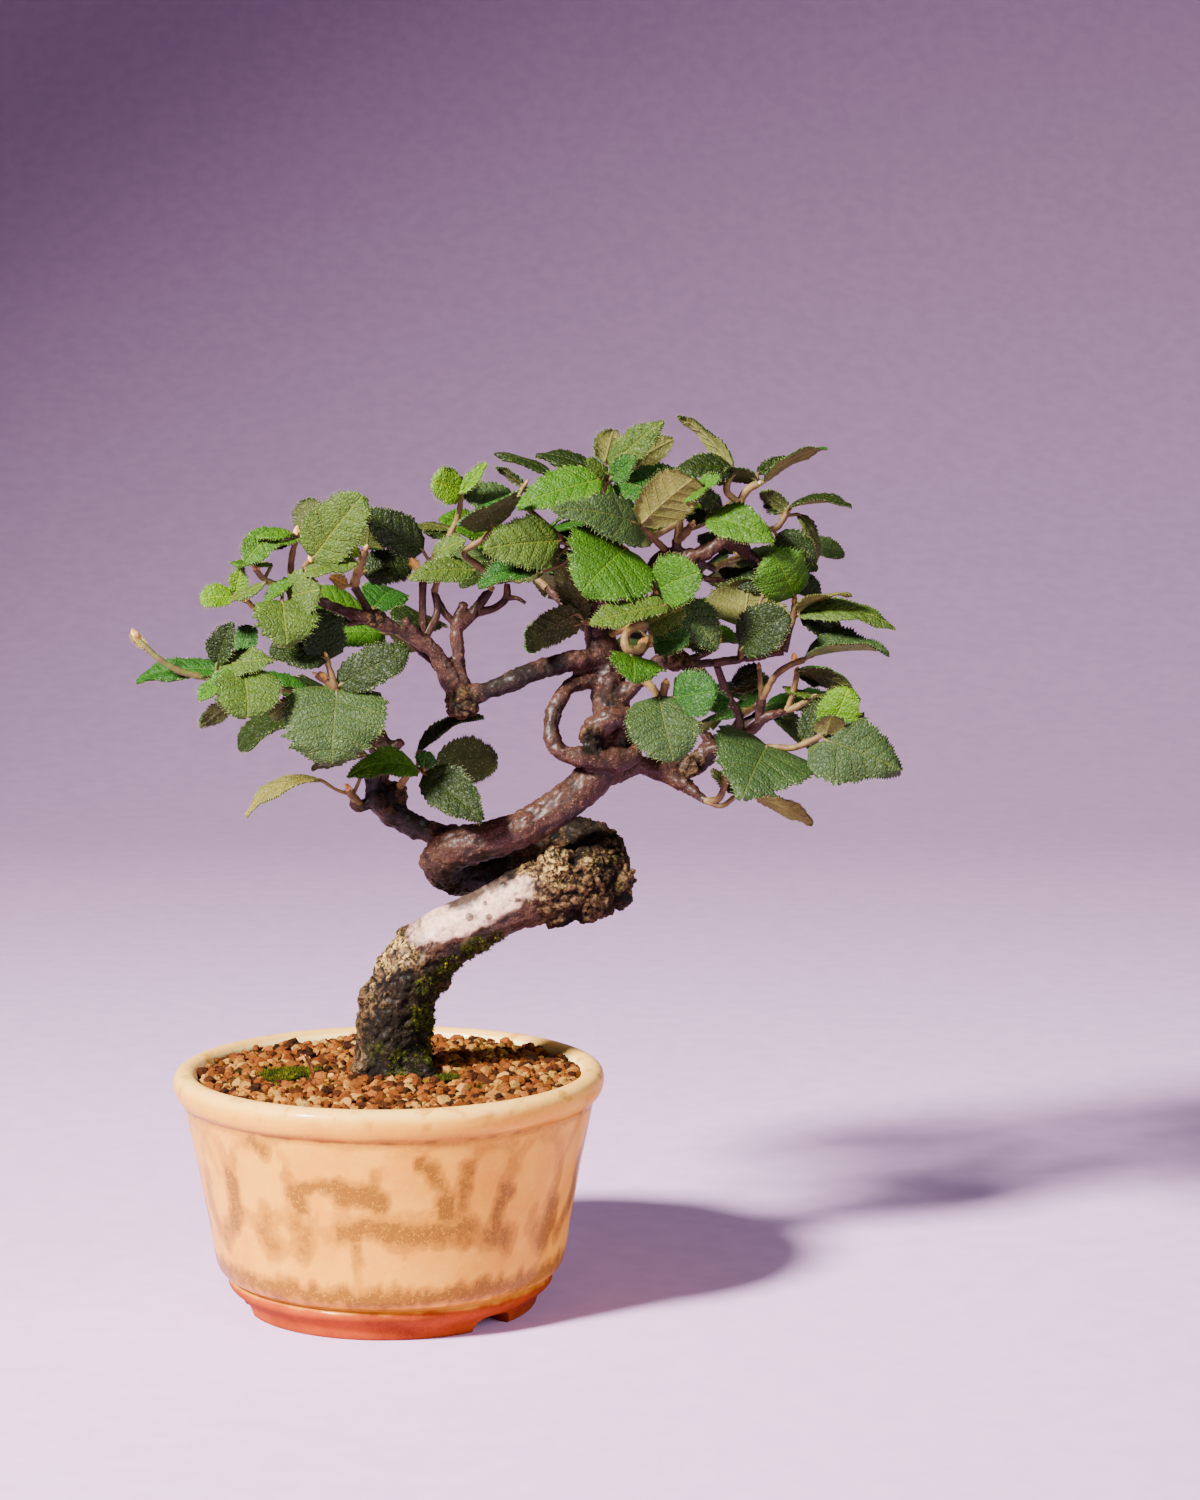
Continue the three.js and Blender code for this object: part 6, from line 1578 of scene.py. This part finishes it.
class BONSAI_OT_pot(bpy.types.Operator):
    """Turn the glazed pot, cut its foot into three and glaze it"""

    bl_idname = "bonsai.pot"
    bl_label = "Pot"

    def execute(self, context):
        deselect()
        rows = [(radius / 1000, 0, height / 1000, 0) for radius, height in POT_OUTLINE + POT_OUTLINE[:1]]
        outline = np.maximum(smooth_path(np.array(rows), 0.0011)[:-1, :3], (0, 0, 0)) + AXIS
        bpy.ops.mesh.primitive_circle_add(vertices=len(outline), radius=0.01)
        pot = bpy.context.object
        place_points(pot, outline)
        with editing():
            bpy.ops.mesh.spin(steps=240, angle=math.tau, center=tuple(AXIS), axis=(0, 0, 1))
            bpy.ops.mesh.select_all(action="SELECT")
            bpy.ops.mesh.remove_doubles(threshold=1e-6)
            bpy.ops.mesh.normals_make_consistent(inside=False)

        for i in range(FOOT_GAPS):
            deselect()
            bpy.ops.mesh.primitive_cylinder_add(vertices=48, radius=1, depth=1)
            cutter = bpy.context.object
            points = coordinates(cutter)
            turn = math.radians(FOOT_GAP_TURN + 360 / FOOT_GAPS * i)
            out = np.array([math.cos(turn), math.sin(turn), 0])
            across = np.array([-out[1], out[0], 0])
            spread = np.sign(points[:, 0]) * np.abs(points[:, 0]) ** 0.75 * 0.0068
            rise = np.sign(points[:, 1]) * np.abs(points[:, 1]) ** 0.75 * 0.0044
            far = 0.0375 + points[:, 2] * 0.022
            placed = AXIS + np.outer(far, out) + np.outer(spread, across) + np.outer(rise, (0, 0, 1))
            place_points(cutter, placed)
            with editing():
                bpy.ops.mesh.normals_make_consistent(inside=False)
            cut = pot.modifiers.new("Foot gap", "BOOLEAN")
            cut.operation = "DIFFERENCE"
            cut.solver = "EXACT"
            cut.object = cutter
            apply_modifiers(pot)
            bpy.data.objects.remove(cutter)

        smooth_edges = pot.modifiers.new("Soft edges", "BEVEL")
        smooth_edges.width = 0.0003
        smooth_edges.segments = 2
        smooth_edges.limit_method = "ANGLE"
        smooth_edges.angle_limit = math.radians(40)
        apply_modifiers(pot)
        self.glaze(pot)
        pot.name = pot.data.name = "pot_glazed"
        smooth(pot, 40)
        add_material(pot, glaze_material(context.scene.bonsai_pot))
        as_piece(pot, "glazed_clay", "pot")
        return {"FINISHED"}

    def glaze(self, pot):
        """Keep where the amber, the bare clay and the painted shade lie: a dark line in the groove above
        the foot and one under the lip.
        """
        points = coordinates(pot) - AXIS
        radius = np.hypot(points[:, 0], points[:, 1]) * 1000
        height = points[:, 2] * 1000
        angle = np.degrees(np.arctan2(points[:, 0], -points[:, 1]))
        outside = radius > np.interp(height, (0, 10, 15, 25, 60, 67), (30, 30, 47, 49, 55.5, 57.5))
        amber = glaze_strength(angle, height) * outside
        lip = ease(59.5, 63, height)
        mottle = np.array([noise.fractal(Vector(point) * 190, 1.0, 2.0, 3) for point in points])
        amber = np.maximum(amber, lip * ease(0.15, 0.6, mottle) * 0.3)
        inner = (radius < 54) & (height > 40) & (outside == 0)
        bare = ease(9.2, 8.1, height + 0.5 * mottle)
        # Painted shade: a dark line in the groove above the foot and a patchy one under the lip
        painted_shade = np.maximum(ease(1.1, 0.2, np.abs(height - 9.3)) * 0.6,
                          ease(0.9, 0.1, np.abs(height - 58.3)) * ease(-0.1, 0.4, mottle) * 0.8)
        write(pot, "glaze", "FLOAT_VECTOR", np.stack([amber, bare, painted_shade * outside], axis=1))
        # Paler glaze inside the back wall and on the lip's top: partly the glaze's own look, partly painted
        # highlight
        write(pot, "pale_and_lit_glaze", "FLOAT", np.maximum(0.85 * inner, 0.3 * ease(63, 66.5, height)))


# ---------------------------------------------------------------------------------------------------------
# Soil, moss, mesh and pin


SOIL_TOP = 64.3
SOIL_DOME = 1.2
SOIL_RADIUS = 52.4
SOIL_FOOT_RADIUS = 39.6
# How near to the pot's axis the granules leave room for the trunk, and how far they reach, in metres
TRUNK_ROOM = 0.0102
GRANULE_REACH = 0.0536
GRANULE_SIZES = (0.0019, 0.0023, 0.0027, 0.0031, 0.0036)
GRANULE_TONES = (0x6A380E, 0x7A4618, 0x5A2E0C, 0x8E6024, 0x3E1E0A, 0x6A3A12, 0xA07838, 0x2A1406)
MOSS_TONES = (0x2C3402, 0x444602, 0x181E02, 0x666204, 0x0E1202)
BARK_TUFTS = 700
# Cushions of moss as x, y from the pot's axis, length, width and turn, with the node each stands for
CUSHIONS = (
    ("moss_left", -28, -6, 10.5, 7, 60),
    ("moss_right", 16.5, -12, 5.5, 4, 35),
)
# Loose tufts on the soil, as x, y, radius and count
LOOSE_MOSS = ((-38, -2, 5, 20), (-17, -14, 5, 26), (-34, 8, 5, 14), (10, -17, 4, 20), (24, -20, 4, 7),
              (-20, 0, 5, 12), (36, -10, 5, 6), (-42, -14, 4, 10), (14, 2, 4, 10), (-30, -24, 5, 8))


def soil_height(x, y):
    """The level of the soil at a place from the pot's axis, all in metres."""
    share = (x * x + y * y) / 0.052**2
    return (SOIL_TOP + SOIL_DOME * (1 - share)) / 1000


def soil_material():
    finish = Finish("soil", Roughness=0.95, Specular_IOR_Level=0.1)
    tone = finish.attribute("grain_tone", "Color")
    crumb = finish.noise(0.0007, detail=4, roughness=0.7)
    stain = finish.noise(0.009, detail=2)
    colour = finish.mix(crumb.ease(0.35, 0.7) * 0.55, tone, finish.shade(tone, *srgb(0xE0B49A)[:3]))
    colour = finish.mix(stain.ease(0.52, 0.75) * 0.35, colour, finish.shade(tone, *srgb(0x9A7A60)[:3]))
    normal = finish.bump(crumb, 0.0007, 1.0)
    return finish.lead(Base_Color=colour, Normal=normal)


def moss_material():
    finish = Finish("moss", Roughness=0.8, Specular_IOR_Level=0.1)
    tone = finish.attribute("grain_tone", "Color")
    fine = finish.noise(0.0005, detail=2)
    patch = finish.noise(0.003, detail=2)
    colour = finish.mix(patch.ease(0.35, 0.65) * 0.7, tone, srgb(0x141E02))
    colour = finish.mix(fine.ease(0.5, 0.75) * 0.5, colour, srgb(0x787A08))
    return finish.lead(Base_Color=colour, Normal=finish.bump(fine, 0.0003, 0.8))


def granule_blank(seed):
    """An angular granule of fired clay, about one across."""
    deselect()
    bpy.ops.mesh.primitive_cube_add(size=1)
    granule = bpy.context.object
    with editing():
        bpy.ops.mesh.subdivide(number_cuts=1, smoothness=0.6)
    points = coordinates(granule)
    dice = random.Random(seed)
    shaped = [unit(p) * (0.34 + 0.3 * np.linalg.norm(p)) * dice.uniform(0.78, 1.22) for p in points]
    place_points(granule, shaped)
    return granule


class BONSAI_OT_soil(bpy.types.Operator):
    """Fill the pot with fired clay granules on a bed"""

    bl_idname = "bonsai.soil"
    bl_label = "Soil"

    def execute(self, context):
        sizes = context.scene.bonsai_soil
        dice = random.Random(5)
        deselect()
        bpy.ops.mesh.primitive_cylinder_add(vertices=72, radius=1, depth=1)
        bed = bpy.context.object
        with editing("DESELECT"):
            pass
        for face in bed.data.polygons:
            face.select = face.normal.z > 0.5
        with editing(None, "FACE"):
            for _ in range(14):
                bpy.ops.mesh.inset(thickness=0.0666)
            bpy.ops.mesh.merge(type="CENTER")
        points = coordinates(bed)
        reach = np.hypot(points[:, 0], points[:, 1])
        top = points[:, 2] > 0
        points[:, :2] *= np.where(top, SOIL_RADIUS, SOIL_FOOT_RADIUS)[:, None] / 1000
        level = soil_height(points[:, 0], points[:, 1]) - 0.0012
        points[:, 2] = np.where(top, np.where(reach > 0.995, 0.0625, level), 0.0109)
        place_points(bed, points + AXIS)
        # Dark bed: partly the soil below, partly painted shade between the granules
        write(bed, "grain_tone", "FLOAT_COLOR", np.tile(tuple(sizes.bed), (len(points), 1)))

        blanks = [granule_blank(seed) for seed in range(4)]
        places = [[] for _ in blanks]
        spacing = sizes.spacing
        count = int(0.052 / spacing) + 2
        for layer in range(2):
            for i in range(-count, count + 1):
                for j in range(-count, count + 1):
                    x = (i + 0.5 * (j % 2) + 0.45 * layer + dice.uniform(-0.3, 0.3)) * spacing
                    y = (j * 0.87 + 0.4 * layer + dice.uniform(-0.3, 0.3)) * spacing
                    size = dice.choice(GRANULE_SIZES) * dice.uniform(0.9, 1.1)
                    if layer:
                        size *= 0.8
                        if dice.random() < 0.35:
                            continue
                    reach = math.hypot(x, y)
                    if reach > GRANULE_REACH - 0.5 * size or math.hypot(x - 0.0006, y) < TRUNK_ROOM:
                        continue
                    if any(in_cushion(x, y, cushion) for cushion in CUSHIONS):
                        continue
                    z = soil_height(x, y) + dice.uniform(-0.0011, 0.0009) - 0.0004 + 0.0006 * layer
                    turn = Euler([dice.uniform(0, 6.3) for _ in range(3)]).to_matrix().to_4x4()
                    shape = Matrix.Diagonal((dice.uniform(0.85, 1.15), dice.uniform(0.85, 1.15), 1, 1))
                    frame = np.array(Matrix.Translation(Vector(AXIS) + Vector((x, y, z))) @ turn @ shape)
                    frame[:3, :3] *= size
                    places[dice.randrange(len(blanks))].append(frame)
        grown = [bed]
        for blank, frames in zip(blanks, places):
            each = len(blank.data.vertices)
            layer = scatter("granules", blank, frames)
            colours = [tinted(dice.choice(GRANULE_TONES), dice, 0.12) for _ in frames]
            write(layer, "grain_tone", "FLOAT_COLOR", np.repeat(np.array(colours), each, axis=0))
            grown.append(layer)
        soil = join("soil_granules", *grown)
        smooth(soil, 24)
        add_material(soil, soil_material())
        as_piece(soil, "soil", "soil")
        return {"FINISHED"}


def in_cushion(x, y, cushion, grow=1.0):
    """Whether a place from the pot's axis, in metres, lies under a cushion of moss."""
    _, centre_x, centre_y, long, wide, turn = cushion
    turn = math.radians(turn)
    dx, dy = x * 1000 - centre_x, y * 1000 - centre_y
    along = dx * math.cos(turn) + dy * math.sin(turn)
    aside = dy * math.cos(turn) - dx * math.sin(turn)
    angle = math.atan2(aside / wide, along / long)
    lobe = 1 + 0.12 * math.sin(3 * angle + centre_x) + 0.06 * math.sin(7 * angle)
    return math.hypot(along / long, aside / wide) < 0.97 * lobe * grow


def tuft_blank():
    """A tuft of seven pointed moss leaves, one high."""
    deselect()
    bpy.ops.mesh.primitive_cone_add(vertices=3, radius1=0.16, radius2=0, depth=1, location=(0, 0, 0.5))
    leaf = bpy.context.object
    bpy.ops.object.transform_apply(location=True)
    frames = []
    dice = random.Random(3)
    for i in range(7):
        lean = 0.25 + 0.75 * (i > 0)
        turn = i * 2.4
        axis = (lean * math.cos(turn), lean * math.sin(turn), 1.0)
        frames.append(frame_along((0, 0, 0), axis, (0.3, 0.2, -0.4), (1, 0.5, dice.uniform(0.8, 1.1))))
    return scatter("tuft", leaf, frames)


class BONSAI_OT_moss(bpy.types.Operator):
    """Lay the two cushions of moss and loose tufts on soil and bark"""

    bl_idname = "bonsai.moss"
    bl_label = "Moss"

    def execute(self, context):
        sizes = context.scene.bonsai_soil
        material = moss_material()
        for cushion in CUSHIONS:
            name, x, y, long, wide, turn = cushion
            dice = random.Random(name)
            deselect()
            bpy.ops.mesh.primitive_uv_sphere_add(segments=32, ring_count=16, radius=1)
            mound = bpy.context.object
            points = coordinates(mound)
            angle = np.arctan2(points[:, 1], points[:, 0])
            lobe = 1 + 0.12 * np.sin(3 * angle + x) + 0.06 * np.sin(7 * angle)
            turned = math.radians(turn)
            along, aside = points[:, 0] * long * lobe, points[:, 1] * wide * lobe
            placed = np.stack([
                x + along * math.cos(turned) - aside * math.sin(turned),
                y + along * math.sin(turned) + aside * math.cos(turned),
                65.2 + np.where(points[:, 2] > 0, 1.1, 1.3) * points[:, 2]], axis=1) / 1000
            place_points(mound, placed + AXIS)
            write(mound, "grain_tone", "FLOAT_COLOR", np.tile(tuple(sizes.moss), (len(points), 1)))
            frames = []
            while len(frames) < long * wide * 7:
                px, py = (dice.uniform(-1, 1) * long + x) / 1000, (dice.uniform(-1, 1) * long + y) / 1000
                if not in_cushion(px, py, cushion, 0.97):
                    continue
                far = math.hypot(px * 1000 - x, py * 1000 - y) / long
                z = 0.0656 + 0.0007 * (1 - far * far)
                lean = (dice.uniform(-0.5, 0.5), dice.uniform(-0.5, 0.5), 1)
                size = dice.uniform(0.0009, 0.0016)
                frames.append(frame_along(AXIS + (px, py, z), lean, random_unit(dice), (size,) * 3))
            moss = self.tufts(name, frames, dice)
            moss = join(f"{name}_tufts", mound, moss)
            smooth(moss, 50)
            add_material(moss, material)
            as_piece(moss, "moss", name)

        dice = random.Random(17)
        frames = []
        for x, y, radius, count in LOOSE_MOSS:
            for _ in range(count):
                reach, turn = radius * math.sqrt(dice.random()), dice.uniform(0, 6.3)
                px, py = (x + reach * math.cos(turn)) / 1000, (y + reach * math.sin(turn)) / 1000
                if math.hypot(px, py) > 0.0515:
                    continue
                at = AXIS + (px, py, soil_height(px, py) + 0.0006)
                size = dice.uniform(0.0008, 0.0018)
                lean = (dice.uniform(-1, 1), dice.uniform(-1, 1), 1.2)
                frames.append(frame_along(at, lean, random_unit(dice), (size,) * 3))
        loose = self.tufts("moss_loose", frames, dice)
        add_material(loose, material)
        smooth(loose, 50)
        as_piece(loose, "moss")
        self.on_bark(material)
        return {"FINISHED"}

    def tufts(self, name, frames, dice):
        blank = tuft_blank()
        each = len(blank.data.vertices)
        moss = scatter(name, blank, frames)
        colours = [tinted(dice.choice(MOSS_TONES), dice, 0.15) for _ in frames]
        write(moss, "grain_tone", "FLOAT_COLOR", np.repeat(np.array(colours), each, axis=0))
        return moss

    def on_bark(self, material):
        """Tufts on the mossy places of the trunk."""
        wood = bpy.data.objects["wood_grown"]
        points, normals = coordinates(wood), normals_of(wood)
        zones = np.empty(len(points) * 3)
        wood.data.attributes["bark_zones"].data.foreach_get("vector", zones)
        mossy = np.flatnonzero((zones.reshape(-1, 3)[:, 1] > 0.45) & (points[:, 2] > 0.064))
        dice = random.Random(29)
        frames = []
        for i in dice.sample(list(mossy), min(BARK_TUFTS, len(mossy))):
            size = dice.uniform(0.0006, 0.0013)
            lean = normals[i] + 0.6 * random_unit(dice)
            frames.append(frame_along(points[i], lean, random_unit(dice), (size,) * 3))
        bark_moss = self.tufts("moss_on_bark", frames, dice)
        add_material(bark_moss, material)
        smooth(bark_moss, 50)
        as_piece(bark_moss, "moss")


class BONSAI_OT_fittings(bpy.types.Operator):
    """Model the wire pin in the soil, and finish the mesh over the drain hole"""

    bl_idname = "bonsai.fittings"
    bl_label = "Pin and Mesh"

    def execute(self, context):
        rows = np.array([[-19.8, -9.5, 56, 0.55], [-20.1, -9.5, 64, 0.55], [-21.2, -9.5, 69, 0.52],
                         [-22.6, -9.3, 72.0, 0.48], [-22.75, -9.3, 72.3, 0.3]]) / 1000
        rows[:, :3] += AXIS
        pin = tubes("wire_pin_bent", [smooth_path(rows, 0.0006)], 4)
        smooth(pin, 50)
        finish = Finish("wire", Metallic=0.85)
        tarnish = finish.noise(0.0015, detail=3)
        colour = finish.mix(tarnish.ease(0.35, 0.7), srgb(0x9A5C3C), srgb(0x5A3424))
        add_material(pin, finish.lead(
            Base_Color=colour, Roughness=0.22 + tarnish * 0.25, Normal=finish.bump(tarnish, 0.0001, 0.5)))
        as_piece(pin, "wire", "wire_pin")

        finish = Finish("mesh_plastic")
        grain = finish.noise(0.0004, detail=2)
        dust = finish.noise(0.003, detail=3)
        colour = finish.mix(dust.ease(0.45, 0.75) * 0.5, srgb(0x23262A), srgb(0x6A5A48))
        plastic = finish.lead(
            Base_Color=colour, Roughness=0.45 + dust * 0.3, Normal=finish.bump(grain, 0.00008, 0.5))
        for slot in bpy.data.objects["drain_mesh"].material_slots:
            slot.material = plastic
        return {"FINISHED"}


# ---------------------------------------------------------------------------------------------------------
# Stage


CAMERA_LENS = 85.1
CAMERA_PITCH = 6.8
LAMP_SPREAD = 80
LAMP_AIM = (-0.03, 0, 0.13)


class BONSAI_OT_stage(bpy.types.Operator):
    """Lay the pale floor, light it softly and set up the camera"""

    bl_idname = "bonsai.stage"
    bl_label = "Stage"

    def execute(self, context):
        sizes = context.scene.bonsai_stage
        deselect()
        bpy.ops.mesh.primitive_plane_add(size=8, location=(0, -3.1, 0))
        sweep = bpy.context.object
        sweep.name = "stage_sweep"
        with editing("DESELECT"):
            pass
        for edge in sweep.data.edges:
            edge.select = all(sweep.data.vertices[i].co.y > 0 for i in edge.vertices)
        with editing(None, "EDGE"):
            bpy.ops.mesh.spin(steps=32, angle=-math.pi / 2, center=(0, 0.9, 1.3), axis=(1, 0, 0))
            bpy.ops.mesh.extrude_region_move(TRANSFORM_OT_translate={"value": (0, 0, 3)})
            bpy.ops.mesh.select_all(action="SELECT")
            bpy.ops.mesh.normals_make_consistent(inside=True)
        smooth(sweep)
        bpy.ops.object.transform_apply(location=True, rotation=True, scale=True)
        finish = Finish("backdrop", Roughness=0.85)
        felt = finish.noise(0.01, detail=4)
        colour = finish.mix(felt.ease(0.3, 0.7), sizes.backdrop, srgb(0xCEA4D4))
        add_material(sweep, finish.lead(Base_Color=colour, Normal=finish.bump(felt, 0.0002, 0.2)))
        sweep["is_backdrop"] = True

        lamps = (("key", (-0.92, -0.84, 1.0), 0.26, sizes.key, (1.0, 0.965, 0.92)),
                 ("fill", (1.1, -0.9, 0.7), 1.2, sizes.fill, (0.9, 0.92, 1.0)))
        for name, place, size, power, colour in lamps:
            deselect()
            bpy.ops.object.light_add(type="AREA", location=place)
            lamp = bpy.context.object
            lamp.name = name
            lamp.data.shape = "DISK"
            lamp.data.size = size
            lamp.data.energy = power
            lamp.data.spread = math.radians(LAMP_SPREAD)
            lamp.data.color = colour
            aim = Vector(LAMP_AIM) - Vector(place)
            lamp.rotation_euler = aim.to_track_quat("-Z", "Y").to_euler()
        world = bpy.data.worlds.new("room")
        context.scene.world = world
        world.use_nodes = True
        sky = world.node_tree.nodes["Background"]
        sky.inputs["Color"].default_value = (0.93, 0.9, 0.97, 1)
        sky.inputs["Strength"].default_value = sizes.room

        tilt = math.radians(90 - CAMERA_PITCH)
        bpy.ops.object.camera_add(location=tuple(EYE + AXIS), rotation=(tilt, 0, 0))
        camera = bpy.context.object
        camera.data.lens = CAMERA_LENS
        camera.data.sensor_width = 36
        camera.data.sensor_fit = "AUTO"
        camera.data.clip_start = 0.05
        camera.data.clip_end = 30
        context.scene.camera = camera
        return {"FINISHED"}


class BONSAI_PT_parts(bpy.types.Panel):
    """The bonsai's parts in the sidebar"""

    bl_label = "Viburnum Bonsai"
    bl_idname = "BONSAI_PT_parts"
    bl_space_type = "VIEW_3D"
    bl_region_type = "UI"
    bl_category = "Bonsai"

    def draw(self, context):
        scene = context.scene
        parts = (
            ("bonsai_pot", ("bonsai.pot",)), ("bonsai_wood", ("bonsai.wood",)),
            ("bonsai_soil", ("bonsai.soil", "bonsai.moss", "bonsai.fittings")),
            ("bonsai_leaves", ("bonsai.leaves", "bonsai.back_leaves")),
            ("bonsai_stage", ("bonsai.stage",)),
        )
        for group, operators in parts:
            box = self.layout.box()
            settings = getattr(scene, group)
            for name in settings.bl_rna.properties.keys():
                if name not in ("rna_type", "name"):
                    box.prop(settings, name)
            for operator in operators:
                box.operator(operator)


GROUPS = {
    "bonsai_wood": BonsaiWood, "bonsai_leaves": BonsaiLeaves, "bonsai_pot": BonsaiPot,
    "bonsai_soil": BonsaiSoil, "bonsai_stage": BonsaiStage,
}
OPERATORS = (
    BONSAI_OT_stage, BONSAI_OT_pot, BONSAI_OT_soil, BONSAI_OT_wood, BONSAI_OT_moss, BONSAI_OT_fittings,
    BONSAI_OT_leaves, BONSAI_OT_back_leaves,
)


def register():
    for group in GROUPS.values():
        bpy.utils.register_class(group)
    for operator in OPERATORS:
        bpy.utils.register_class(operator)
    bpy.utils.register_class(BONSAI_PT_parts)
    for name, group in GROUPS.items():
        setattr(bpy.types.Scene, name, bpy.props.PointerProperty(type=group))


def unregister():
    for name in GROUPS:
        delattr(bpy.types.Scene, name)
    bpy.utils.unregister_class(BONSAI_PT_parts)
    for operator in reversed(OPERATORS):
        bpy.utils.unregister_class(operator)
    for group in reversed(GROUPS.values()):
        bpy.utils.unregister_class(group)


def main():
    register()
    bpy.ops.bonsai.stage()
    bpy.ops.bonsai.pot()
    bpy.ops.bonsai.soil()
    bpy.ops.bonsai.wood()
    bpy.ops.bonsai.moss()
    bpy.ops.bonsai.fittings()
    bpy.ops.bonsai.leaves()
    bpy.ops.bonsai.back_leaves()
    boxes = {"cad": CAD_BOX, "visual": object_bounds()}
    boxes = {name: [[float(v) for v in corner] for corner in box] for name, box in boxes.items()}


if __name__ == "__main__":
    main()
